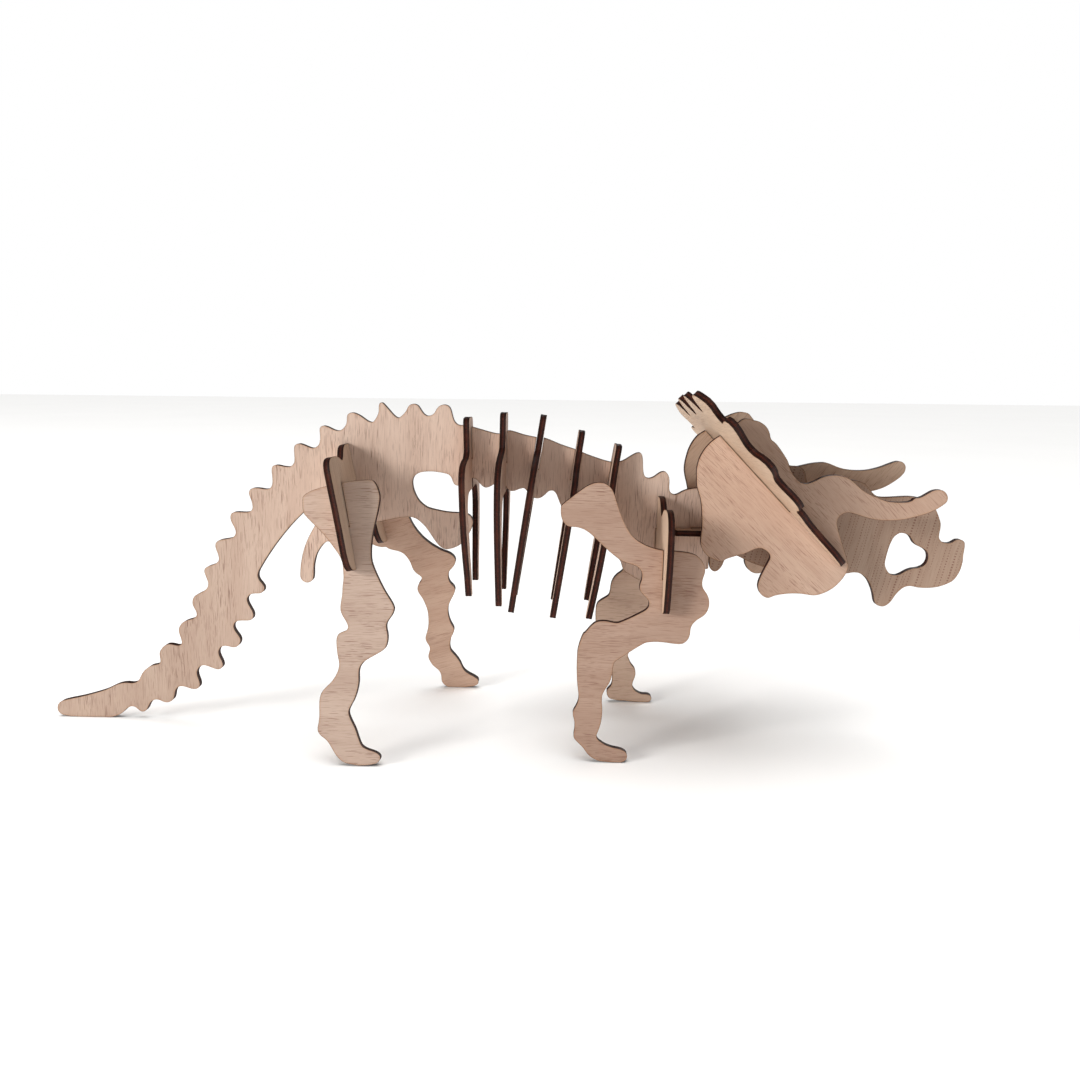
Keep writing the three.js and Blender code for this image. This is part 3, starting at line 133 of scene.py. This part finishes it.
# ------------------------------------------------------------------ bare plywood face
def face_material(name, seed, tone=(214, 186, 163), pores=1.0, dotted=0.0, painted_shade_ramp=None):
    """Rotary-cut veneer: the UV map holds millimetres, U along the grain."""
    m, nt, bsdf = new_material(name)
    n = Net(nt)
    uv = n.node("ShaderNodeUVMap", uv_map="ply").outputs["UV"]
    sep = n.node("ShaderNodeSeparateXYZ")
    nt.links.new(uv, sep.inputs[0])
    u, v = sep.outputs[0], sep.outputs[1]
    # the veneer's grain wanders a little from side to side
    wander = n.noise(n.vec(n.math("MULTIPLY", u, 0.018), n.math("MULTIPLY", v, 0.03), seed), 1.0, 2.0)
    v2 = n.math("ADD", v, n.math("MULTIPLY", n.math("SUBTRACT", wander, 0.5), 3.5))
    cloud = n.noise(n.vec(n.math("MULTIPLY", u, 0.012), n.math("MULTIPLY", v2, 0.07), seed + 3.1), 1.0, 3.0, 0.55)
    band = n.noise(n.vec(n.math("MULTIPLY", u, 0.010), n.math("MULTIPLY", v2, 0.45), seed + 7.7), 1.0, 3.0, 0.6)
    fibre = n.noise(n.vec(n.math("MULTIPLY", u, 0.11), n.math("MULTIPLY", v2, 2.6), seed + 11.3), 1.0, 4.0, 0.65)
    fine = n.noise(n.vec(n.math("MULTIPLY", u, 0.5), n.math("MULTIPLY", v2, 7.5), seed + 19.9), 1.0, 2.0, 0.6)
    # open pores, cut lengthwise: thin dark dashes, thicker on some bands of the veneer
    pore_a = n.noise(n.vec(n.math("MULTIPLY", u, 0.115), n.math("MULTIPLY", v2, 3.1), seed + 29.0), 1.0, 0.0, 0.4)
    pore_b = n.noise(n.vec(n.math("MULTIPLY", u, 0.24), n.math("MULTIPLY", v2, 4.3), seed + 37.0), 1.0, 0.0, 0.4)
    patch = n.noise(n.vec(n.math("MULTIPLY", u, 0.030), n.math("MULTIPLY", v2, 0.10), seed + 41.0), 1.0, 2.0, 0.5)
    here = n.step(patch, 0.36, 0.66)
    dash_a = n.math("MULTIPLY", n.step(pore_a, 0.655, 0.735), n.math("ADD", n.math("MULTIPLY", here, 0.60), 0.40))
    dash_b = n.math("MULTIPLY", n.step(pore_b, 0.670, 0.745), n.math("ADD", n.math("MULTIPLY", here, 0.80), 0.20))
    dashes = n.math("MAXIMUM", dash_a, n.math("MULTIPLY", dash_b, 0.7))
    dashes = n.math("MULTIPLY", dashes, pores, clamp=True)
    if dotted > 0:
        row = n.math("ADD", n.math("MULTIPLY", v2, 0.40), n.math("MULTIPLY", n.noise(n.vec(0.0, n.math("MULTIPLY", v2, 0.21), seed + 53.0), 1.0, 1.0, 0.4), 2.2))
        off = n.math("ABSOLUTE", n.math("SUBTRACT", n.math("FRACT", row), 0.5))
        phase = n.math("MULTIPLY", n.math("FLOOR", row), 2.3)
        dot = n.math("SINE", n.math("ADD", n.math("MULTIPLY", u, 4.4), phase))
        shown = n.step(n.noise(n.vec(n.math("MULTIPLY", u, 0.03), n.math("MULTIPLY", v2, 0.30), seed + 57.0), 1.0, 1.0, 0.4), 0.36, 0.47)
        dots = n.math("MULTIPLY", n.math("MULTIPLY", n.step(off, 0.060, 0.110, 1.0, 0.0), shown), n.step(dot, -0.1, 0.4))
        dashes = n.math("MAXIMUM", dashes, n.math("MULTIPLY", dots, dotted))
    
    base = srgb(*tone)
    light = srgb(min(255, tone[0] + 5), min(255, tone[1] + 5), min(255, tone[2] + 4))
    deep = srgb(tone[0] - 8, tone[1] - 10, tone[2] - 11)
    col = n.mix(n.step(cloud, 0.30, 0.72), light, deep)
    col = n.mix(n.math("MULTIPLY", n.step(band, 0.42, 0.72), 0.22), col, srgb(tone[0] - 20, tone[1] - 26, tone[2] - 28))
    col = n.mix(n.math("MULTIPLY", n.step(fibre, 0.44, 0.74), 0.34), col, srgb(tone[0] - 34, tone[1] - 42, tone[2] - 44))
    col = n.mix(n.math("MULTIPLY", n.step(fine, 0.45, 0.75), 0.16), col, srgb(tone[0] + 10, tone[1] + 10, tone[2] + 8))
    col = n.mix(n.math("MULTIPLY", dashes, 0.78), col, srgb(118, 74, 58))
    if painted_shade_ramp:
        # painted shade: towards its tail (-X) end the sheet's colour is multiplied darker, standing in for the window
        # light falling off along the spine; the veneer itself does not change
        place = n.node("ShaderNodeTexCoord").outputs["Object"]
        px = n.node("ShaderNodeSeparateXYZ")
        nt.links.new(place, px.inputs[0])
        dark = n.step(n.math("ADD", px.outputs[0], n.math("MULTIPLY", n.math("SUBTRACT", cloud, 0.5), 0.03)), painted_shade_ramp[0], painted_shade_ramp[1], painted_shade_ramp[2], 0.0)
        col = n.mix(dark, col, (0.70, 0.67, 0.64), "MULTIPLY")
    # scorch beside the cut: a hairline of char, then a golden-brown fade
    at = n.node("ShaderNodeAttribute", attribute_type="GEOMETRY", attribute_name="edge_mm").outputs["Fac"]
    uneven = n.noise(n.vec(n.math("MULTIPLY", u, 0.35), n.math("MULTIPLY", v, 0.35), seed + 61.0), 1.0, 3.0, 0.6)
    at2 = n.math("ADD", at, n.math("MULTIPLY", n.math("SUBTRACT", uneven, 0.5), 0.7))
    halo = n.step(at2, -0.15, 1.25, 1.0, 0.0)
    col = n.mix(n.math("MULTIPLY", halo, 0.34), col, srgb(176, 124, 74))
    rim = n.step(at, 0.02, 0.26, 1.0, 0.0)
    rim = n.math("MULTIPLY", rim, n.step(uneven, 0.25, 0.62, 0.45, 1.0))
    col = n.mix(n.math("MULTIPLY", rim, 0.85), col, srgb(86, 52, 34))
    n.put(bsdf.inputs["Base Color"], col)
    rough = n.math("ADD", 0.60, n.math("MULTIPLY", fibre, 0.18))
    n.put(bsdf.inputs["Roughness"], rough)
    bsdf.inputs["Specular IOR Level"].default_value = 0.35
    # fibre ridges and open pores
    h = n.math("ADD", n.math("MULTIPLY", fibre, 0.5), n.math("MULTIPLY", fine, 0.25))
    h = n.math("SUBTRACT", h, n.math("MULTIPLY", dashes, 0.9))
    bump = n.node("ShaderNodeBump")
    bump.inputs["Strength"].default_value = 0.35
    bump.inputs["Distance"].default_value = 0.00012
    n.put(bump.inputs["Height"], h)
    nt.links.new(bump.outputs["Normal"], bsdf.inputs["Normal"])
    return m


# ------------------------------------------------------------------ laser-cut edge
def edge_material(name, seed, glow=0.0):
    """UV map: U is millimetres round the outline, V goes from 0 to 1 through the sheet."""
    m, nt, bsdf = new_material(name)
    n = Net(nt)
    uv = n.node("ShaderNodeUVMap", uv_map="ply").outputs["UV"]
    sep = n.node("ShaderNodeSeparateXYZ")
    nt.links.new(uv, sep.inputs[0])
    u, t = sep.outputs[0], sep.outputs[1]
    mm = n.math("MULTIPLY", t, 3.0)
    core = n.math("MULTIPLY", n.step(t, 0.315, 0.345), n.step(t, 0.655, 0.685, 1.0, 0.0))
    d1 = n.math("ABSOLUTE", n.math("SUBTRACT", t, 0.33))
    d2 = n.math("ABSOLUTE", n.math("SUBTRACT", t, 0.67))
    glue = n.step(n.math("MINIMUM", d1, d2), 0.008, 0.034, 1.0, 0.0)
    # beam striations across the sheet, and the end grain of the core
    stri = n.noise(n.vec(n.math("MULTIPLY", u, 3.2), n.math("MULTIPLY", mm, 0.25), seed), 1.0, 3.0, 0.6)
    grain = n.noise(n.vec(n.math("MULTIPLY", u, 2.2), n.math("MULTIPLY", mm, 2.4), seed + 5.0), 1.0, 3.0, 0.65)
    along = n.noise(n.vec(n.math("MULTIPLY", u, 0.10), n.math("MULTIPLY", mm, 0.1), seed + 9.0), 1.0, 2.0, 0.5)
    ply_lines = n.noise(n.vec(n.math("MULTIPLY", u, 0.35), n.math("MULTIPLY", mm, 5.5), seed + 15.0), 1.0, 2.0, 0.6)
    outer = n.mix(n.step(ply_lines, 0.35, 0.70), srgb(29, 11, 7), srgb(57, 25, 14))
    inner = n.mix(n.step(grain, 0.36, 0.68), srgb(46, 16, 9), srgb(92, 39, 23))
    col = n.mix(core, outer, inner)
    col = n.mix(n.math("MULTIPLY", n.step(stri, 0.42, 0.66), 0.50), col, srgb(20, 9, 7))
    col = n.mix(n.math("MULTIPLY", n.step(along, 0.50, 0.74), 0.35), col, srgb(90, 44, 26))
    col = n.mix(n.math("MULTIPLY", glue, 0.80), col, srgb(16, 8, 7))
    # the lip next to each face is browner, not black
    lip = n.math("MAXIMUM", n.step(t, 0.0, 0.045, 1.0, 0.0), n.step(t, 0.955, 1.0))
    col = n.mix(n.math("MULTIPLY", lip, 0.35), col, srgb(78, 44, 28))
    n.put(bsdf.inputs["Base Color"], col)
    n.put(bsdf.inputs["Roughness"], n.math("ADD", 0.50, n.math("MULTIPLY", grain, 0.25)))
    bsdf.inputs["Specular IOR Level"].default_value = 0.18
    bump = n.node("ShaderNodeBump")
    bump.inputs["Strength"].default_value = 0.55
    bump.inputs["Distance"].default_value = 0.00015
    n.put(bump.inputs["Height"], n.math("ADD", n.math("MULTIPLY", stri, 0.6), n.math("MULTIPLY", grain, 0.5)))
    nt.links.new(bump.outputs["Normal"], bsdf.inputs["Normal"])
    return m


# ------------------------------------------------------------------ plates
def chain(nxt):
    loops, left = [], set(nxt)
    while left:
        a = min(left)
        loop = []
        while a in left:
            left.discard(a)
            loop.append(a)
            a = nxt[a]
        if len(loop) > 2:
            loops.append(loop)
    return loops


def seg_dist(P, loops):
    """Distance from each point to the nearest outline segment, and whether it is inside."""
    best = np.full(len(P), 1e9)
    inside = np.zeros(len(P), bool)
    for L in loops:
        A = L; B = np.roll(L, -1, 0); D = B - A
        LL = np.maximum((D * D).sum(1), 1e-12)
        for k in range(0, len(P), 2000):
            Q = P[k:k + 2000]
            t = np.clip(((Q[:, None] - A[None]) * D[None]).sum(2) / LL, 0, 1)
            d = np.linalg.norm(Q[:, None] - (A[None] + t[..., None] * D[None]), axis=2).min(1)
            best[k:k + 2000] = np.minimum(best[k:k + 2000], d)
            y0, y1 = A[:, 1][None], B[:, 1][None]
            cross = (y0 > Q[:, 1:2]) != (y1 > Q[:, 1:2])
            with np.errstate(divide="ignore", invalid="ignore"):
                xi = A[:, 0][None] + (Q[:, 1:2] - y0) / np.where(y1 == y0, 1e-9, y1 - y0) * D[:, 0][None]
            inside[k:k + 2000] ^= ((cross & (xi > Q[:, 0:1])).sum(1) % 2).astype(bool)
    return best, inside


def curve_in(p0, p1, p2, p3):
    """Points to add between p1 and p2 so the outline runs on as a curve; none beside a corner or on a straight."""
    d = p2 - p1; L = np.linalg.norm(d)
    if L < 0.5:
        return []
    d = d / L
    def turn(a, b):
        a = a / max(np.linalg.norm(a), 1e-9); b = b / max(np.linalg.norm(b), 1e-9)
        return math.atan2(a[0] * b[1] - a[1] * b[0], a @ b)
    a1, a2 = turn(p1 - p0, p2 - p1), turn(p2 - p1, p3 - p2)
    lim = math.radians(52)
    s1 = 0.0 if abs(a1) > lim else a1 / 2       # tangent at p1 lies half the turn back
    s2 = 0.0 if abs(a2) > lim else a2 / 2
    cap = math.atan(0.9 / L)
    s1 = max(-cap, min(cap, s1)); s2 = max(-cap, min(cap, s2))
    if abs(s1) < 0.02 and abs(s2) < 0.02:
        return []
    rot = lambda v, a: np.array([v[0] * math.cos(a) - v[1] * math.sin(a), v[0] * math.sin(a) + v[1] * math.cos(a)])
    t1, t2 = rot(d, -s1) * L, rot(d, s2) * L
    k = int(min(5, max(1, round(L / 0.9))))
    out = []
    for i in range(1, k + 1):
        s = i / (k + 1)
        out.append((2*s**3 - 3*s**2 + 1) * p1 + (s**3 - 2*s**2 + s) * t1 + (-2*s**3 + 3*s**2) * p2 + (s**3 - s**2) * t2)
    return out


def outlines(me, n, want):
    """Loops of the cap whose normal is want*n, as vertex index lists in the cap's own direction."""
    bm = bmesh.new(); bm.from_mesh(me)
    bmesh.ops.remove_doubles(bm, verts=bm.verts, dist=2e-6)
    bm.verts.ensure_lookup_table()
    side = [v.co.dot(n) * want for v in bm.verts]
    top = max(side)
    cap = set()
    for f in bm.faces:
        if all(v.co.dot(n) * want > top - 2e-5 for v in f.verts):
            cap.add(f)
    nxt = {}
    for f in cap:
        for l in f.loops:
            if sum(g in cap for g in l.edge.link_faces) == 1:
                nxt[l.vert.index] = l.link_loop_next.vert.index
    loops = [[bm.verts[i].co.copy() for i in lp] for lp in chain(nxt)]
    bm.free()
    return loops, top * want


def plate(node, grain, face_mat, edge_mat):
    """The sheet as it leaves the cutter: curved outline, two faces with eased arrises, three plies on the edge."""
    me = NODES[node].data
    big = max(me.polygons, key=lambda p: p.area)
    n = big.normal.copy().normalized()
    front, wf = outlines(me, n, 1)
    back, wb = outlines(me, n, -1)
    thick = wf - wb
    ex = Vector(grain) - Vector(grain).dot(n) * n
    ex.normalize()
    ey = n.cross(ex)
    to2 = lambda loop: np.array([[p.dot(ex) * 1000, p.dot(ey) * 1000] for p in loop])
    F = [to2(l) for l in front]
    B = [to2(l)[::-1].copy() for l in back]
    if len(F) != len(B):
        raise RuntimeError(node + " outlines differ")
    order = []
    for f in F:
        k = min(range(len(B)), key=lambda j: np.linalg.norm(B[j].mean(0) - f.mean(0)) + (1e6 if j in order else 0))
        order.append(k)
    B = [B[k] for k in order]

    def enrich(f, b):
        # which corners of the front outline lie straight above a corner of the back one
        D = np.linalg.norm(f[:, None] - b[None], axis=2)
        mate = [int(D[i].argmin()) if D[i].min() < 0.03 else -1 for i in range(len(f))]
        nf, nb = len(f), len(b)
        start = next(i for i in range(nf) if mate[i] >= 0)
        add_f, add_b = {}, {}
        for i in range(nf):
            j = (i + 1) % nf
            if mate[i] >= 0 and mate[j] >= 0 and (mate[i] + 1) % nb == mate[j]:
                pts = curve_in(f[i - 1], f[i], f[j], f[(j + 1) % nf])
                if pts:
                    add_f[i] = pts
                    add_b[mate[i]] = pts
        nfp, nbp, f_i, b_i = [], [], [], []
        for i in range(nf):
            k = (start + i) % nf
            nfp.append(f[k]); nfp += add_f.get(k, [])
        s2 = mate[start]
        for i in range(nb):
            k = (s2 + i) % nb
            nbp.append(b[k]); nbp += add_b.get(k, [])
        return np.array(nfp), np.array(nbp)

    pairs = [enrich(f, b) for f, b in zip(F, B)]
    F, B = [p[0] for p in pairs], [p[1] for p in pairs]

    bm = bmesh.new()
    uvl = bm.loops.layers.uv.new("ply")
    dist = bm.verts.layers.float.new("edge_mm")
    lift = lambda p, w: ex * (p[0] / 1000) + ey * (p[1] / 1000) + n * w

    def ring(loops, w):
        out = []
        for L in loops:
            out.append([bm.verts.new(lift(p, w)) for p in L])
        return out
    RF, RB = ring(F, wf), ring(B, wb)
    sides = []
    s_all = 0.0
    for f, b, vf, vb in zip(F, B, RF, RB):
        nf, nb = len(f), len(b)
        i = j = 0
        s = s_all
        # f runs with the material on its left, seen from the front
        while i < nf or j < nb:
            fi, fj = f[i % nf], f[(i + 1) % nf]
            bi, bj = b[j % nb], b[(j + 1) % nb]
            both = i < nf and j < nb and np.linalg.norm(fj - bj) < 1.2 and abs(np.linalg.norm(fj - fi) - np.linalg.norm(bj - bi)) < 0.8
            step_f = i < nf and (j >= nb or np.linalg.norm(fj - bi) <= np.linalg.norm(bj - fi))
            if both:
                L = np.linalg.norm(fj - fi)
                vs = [vf[i % nf], vb[j % nb], vb[(j + 1) % nb], vf[(i + 1) % nf]]
                uvs = [(s, 0), (s, 1), (s + L, 1), (s + L, 0)]
                i += 1; j += 1; s += L
            elif step_f:
                L = np.linalg.norm(fj - fi)
                vs = [vf[i % nf], vb[j % nb], vf[(i + 1) % nf]]
                uvs = [(s, 0), (s, 1), (s + L, 0)]
                i += 1; s += L
            else:
                L = np.linalg.norm(bj - bi)
                vs = [vf[i % nf], vb[j % nb], vb[(j + 1) % nb]]
                uvs = [(s, 0), (s, 1), (s + L, 1)]
                j += 1
            if len(set(vs)) < 3:
                continue
            face = bm.faces.new(vs)
            face.material_index = 1
            face.smooth = True
            for l, q in zip(face.loops, uvs):
                l[uvl].uv = q
            sides.append(face)
        s_all = s + 20.0

    def cap(loops, rings, w, flip):
        P, E, V = [], [], []
        for L, R in zip(loops, rings):
            o = len(P)
            P += list(L); V += R
            E += [(o + k, o + (k + 1) % len(L)) for k in range(len(L))]
        nb = len(P)
        extra = []
        for off in (0.28, 1.15):
            for L in loops:
                A = L; C = np.roll(L, -1, 0); Z = np.roll(L, 1, 0)
                d1 = A - Z; d1 /= np.maximum(np.linalg.norm(d1, axis=1)[:, None], 1e-9)
                d2 = C - A; d2 /= np.maximum(np.linalg.norm(d2, axis=1)[:, None], 1e-9)
                nn = np.stack([-(d1 + d2)[:, 1], (d1 + d2)[:, 0]], 1)
                nl = np.linalg.norm(nn, axis=1)[:, None]
                nn = nn / np.maximum(nl, 1e-9)
                extra.append(A + nn * off)
                seg = np.linalg.norm(C - A, axis=1)
                for q in range(len(A)):
                    m = int(seg[q] // 1.6)
                    if m > 0:
                        side = np.array([-d2[q][1], d2[q][0]])
                        extra.append(np.array([A[q] + (C[q] - A[q]) * (k + 1) / (m + 1) + side * off for k in range(m)]))
        lo = np.min([L.min(0) for L in loops], 0); hi = np.max([L.max(0) for L in loops], 0)
        gx, gy = np.meshgrid(np.arange(lo[0] + 1.3, hi[0], 5.0), np.arange(lo[1] + 1.7, hi[1], 5.0))
        grid = np.stack([gx.ravel(), gy.ravel()], 1)
        X = np.concatenate(extra)
        dX, inX = seg_dist(X, loops)
        n1 = sum(len(e) for e in extra)
        near = np.concatenate([np.full(len(e), 0.0) for e in extra])
        half = len(X) // 2
        want = np.where(np.arange(len(X)) < half, 0.28, 1.15)
        X = X[inX & (dX > want * 0.86)]
        dG, inG = seg_dist(grid, loops)
        grid = grid[inG & (dG > 2.2)]
        X = np.concatenate([X, grid]) if len(grid) else X
        # drop points that crowd each other
        cell, keep = {}, []
        for k, p in enumerate(X):
            c = (int(math.floor(p[0] / 0.16)), int(math.floor(p[1] / 0.16)))
            if any((c[0] + a, c[1] + b_) in cell for a in (-1, 0, 1) for b_ in (-1, 0, 1)):
                continue
            cell[c] = k; keep.append(k)
        X = X[keep]
        dX, _ = seg_dist(X, loops)
        allp = P + list(X)
        res = delaunay_2d_cdt([Vector((float(p[0]), float(p[1]))) for p in allp], E, [], 0, 1e-6)
        verts, _, tris, orig = res[0], res[1], res[2], res[3]
        cen = np.array([[sum(verts[k][0] for k in t) / 3, sum(verts[k][1] for k in t) / 3] for t in tris])
        _, ok = seg_dist(cen, loops)
        made = {}
        for k, src in enumerate(orig):
            if src and min(src) < nb:
                made[k] = V[min(src)]
        for t, good in zip(tris, ok):
            if not good:
                continue
            vs = []
            for k in t:
                if k not in made:
                    v = bm.verts.new(lift(verts[k], w))
                    src = [q for q in orig[k] if q >= nb]
                    v[dist] = float(min(3.0, dX[src[0] - nb])) if src else 0.0
                    made[k] = v
                vs.append(made[k])
            if flip:
                vs = vs[::-1]
            try:
                face = bm.faces.new(vs)
            except ValueError:
                continue
            face.material_index = 0
            face.smooth = False
            for l in face.loops:
                c = l.vert.co
                l[uvl].uv = (c.dot(ex) * 1000, c.dot(ey) * 1000 + (170 if flip else 0))
    cap(F, RF, wf, False)
    cap(B, RB, wb, True)
    # a sliver on a straight run of the outline can fall just outside it
    for face in [f for f in bm.faces if any(len(e.link_faces) == 1 for e in f.edges) and any(len(e.link_faces) > 2 for e in f.edges)]:
        bm.faces.remove(face)
    for e in [e for e in bm.edges if not e.link_faces]:
        bm.edges.remove(e)
    bmesh.ops.recalc_face_normals(bm, faces=bm.faces)

    # the sheet's layers: eased lips, glue lines and a core that burns back a little further
    for depth in (0.07, 0.94, 1.04, 1.96, 2.06, 2.93):
        w = wf - thick * depth / 3.0
        geom = [f for f in bm.faces if f.material_index == 1]
        geom += list({e for f in geom for e in f.edges}) + list({v for f in geom for v in f.verts})
        bmesh.ops.bisect_plane(bm, geom=geom, dist=1e-8, plane_co=n * w, plane_no=n)
    bm.normal_update()
    move = {}
    for v in bm.verts:
        s = [f for f in v.link_faces if f.material_index == 1]
        if not s:
            continue
        acc = Vector((0, 0, 0))
        for f in s:
            q = f.normal - f.normal.dot(n) * n
            if q.length > 1e-6:
                acc += q.normalized() * f.calc_area()
        if acc.length < 1e-12:
            continue
        acc.normalize()
        t = (wf - v.co.dot(n)) / thick
        if t < 0.002 or t > 0.998:
            amount = 0.055
        elif 0.34 < t < 0.66:
            amount = 0.050 + 0.018 * math.sin(v.co.x * 9100 + v.co.z * 7300)
        else:
            amount = 0.0
        move[v] = acc * (-amount / 1000)
    for v, d in move.items():
        v.co += d
    bm.normal_update()
    for e in bm.edges:
        if len(e.link_faces) == 2:
            a, b = e.link_faces
            e.smooth = a.normal.angle(b.normal, 0) < math.radians(38)
    out = bpy.data.meshes.new(node + "_sheet")
    bm.to_mesh(out)
    bm.free()
    out.materials.append(face_mat)
    out.materials.append(edge_mat)
    ob = bpy.data.objects.new(node + "_sheet", out)
    scene.collection.objects.link(ob)
    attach(ob, node)
    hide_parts(node)
    return ob


# piece: grain direction, veneer tone, pore strength, dotted rows
PLY = {
    "spine_plate":      ((0.03, 0, 1.0),    (216, 191, 175), 1.00, 0.0),
    "hip_plate":        ((0.0, 0.06, 1.0),  (206, 183, 163), 0.45, 0.0),
    "shoulder_plate":   ((0.0, -0.04, 1.0), (201, 175, 153), 0.45, 0.0),
    "hind_leg_near":    ((1.0, 0, 0.02),    (198, 174, 159), 1.00, 0.0),
    "hind_leg_far":     ((1.0, 0, 0.32),    (194, 164, 145), 0.60, 0.0),
    "fore_leg_near":    ((1.0, 0, -0.03),   (181, 152, 135), 1.00, 0.0),
    "fore_leg_far":     ((1.0, 0, 0.05),    (200, 173, 154), 0.90, 0.0),
    "rib_1":            ((0.0, 0.05, 1.0),  (196, 170, 153), 0.60, 0.0),
    "rib_2":            ((0.0, -0.05, 1.0), (196, 170, 153), 0.60, 0.0),
    "rib_3":            ((0.1, 0.02, 1.0),  (196, 170, 153), 0.60, 0.0),
    "rib_4":            ((0.1, -0.03, 1.0), (196, 170, 153), 0.60, 0.0),
    "rib_5":            ((0.1, 0.04, 1.0),  (196, 170, 153), 0.60, 0.0),
    "neck_bar":         ((0.0, 1.0, 0.0),   (192, 164, 143), 0.60, 0.0),
    "skull_plate":      ((0.22, 0, 1.0),    (177, 151, 133), 0.45, 1.0),
    "frill_plate":      ((0.0, 1.0, 0.0),   (204, 179, 156), 0.45, 0.0),
    "cheek_plate_near": ((0.72, 0, -0.69),  (198, 168, 149), 0.85, 0.0),
    "cheek_plate_far":  ((0.62, 0, 0.78),   (202, 175, 154), 0.85, 0.0),
}
SHEETS = []
for k, (name, (grain, tone, pores, dotted)) in enumerate(PLY.items()):
    # the spine alone gets the painted shade ramp, darker towards its tail
    fm = face_material("veneer_" + name, 13.7 * (k + 1), tone, pores, dotted, (-0.19, -0.06, 0.85) if name == "spine_plate" else None)
    em = edge_material("cut_edge_" + name, 5.3 * (k + 1))
    SHEETS.append(plate(name, grain, fm, em))

# ------------------------------------------------------------------ floor and light
fm, nt, bsdf = new_material("studio_floor")
net = Net(nt)
tc = net.node("ShaderNodeTexCoord").outputs["Object"]
soft = net.noise(tc, 3.0, 2.0, 0.5)
net.put(bsdf.inputs["Base Color"], net.mix(soft, (0.90, 0.895, 0.885), (0.93, 0.925, 0.915)))
bsdf.inputs["Roughness"].default_value = 0.85
bm = bmesh.new()
bmesh.ops.create_grid(bm, x_segments=1, y_segments=1, size=6.0)
me = bpy.data.meshes.new("floor")
bm.to_mesh(me); bm.free()
me.materials.append(fm)
floor = bpy.data.objects.new("floor", me)
floor.location = (0, 0, -0.0002)
scene.collection.objects.link(floor)


def area(name, at, look, size, power, colour=(1, 1, 1)):
    d = bpy.data.lights.new(name, "AREA")
    d.shape = "RECTANGLE"
    d.size, d.size_y = size
    d.energy = power
    d.color = colour
    o = bpy.data.objects.new(name, d)
    o.location = at
    o.rotation_mode = "QUATERNION"
    o.rotation_quaternion = (Vector(look) - Vector(at)).to_track_quat("-Z", "Y")
    scene.collection.objects.link(o)
    return o


area("window", (-2.88, -1.92, 1.14), (0.0, 0.0, 0.08), (1.15, 1.15), 99.0, (1.0, 0.985, 0.96))
area("ceiling", (0.1, -0.3, 1.8), (0.0, 0.0, 0.0), (1.6, 1.6), 4.0)
sun = bpy.data.lights.new("floor_wash", "SUN")
sun.energy, sun.angle = 2.75, math.radians(60)
wash = bpy.data.objects.new("floor_wash", sun)
wash.location = (0, 0, 3)
scene.collection.objects.link(wash)
only = bpy.data.collections.new("floor_only")
only.objects.link(floor)
wash.light_linking.receiver_collection = only
# a soft reflector behind the model, so that its far side isn't in the dark
back = area("reflector", (1.25, 2.30, 0.90), (0.0, 0.0, 0.08), (1.4, 1.4), 23.0)
pieces = bpy.data.collections.new("pieces_only")
for ob in SHEETS:
    pieces.objects.link(ob)
back.light_linking.receiver_collection = pieces

world = bpy.data.worlds.new("studio")
world.use_nodes = True
wn = Net(world.node_tree)
bg = world.node_tree.nodes["Background"]
bg.inputs[0].default_value = (1.0, 1.0, 1.0, 1.0)
path = wn.node("ShaderNodeLightPath").outputs["Is Camera Ray"]
wn.put(bg.inputs[1], wn.math("ADD", wn.math("MULTIPLY", path, 0.84), 0.16))
scene.world = world
scene.view_settings.view_transform = "Standard"
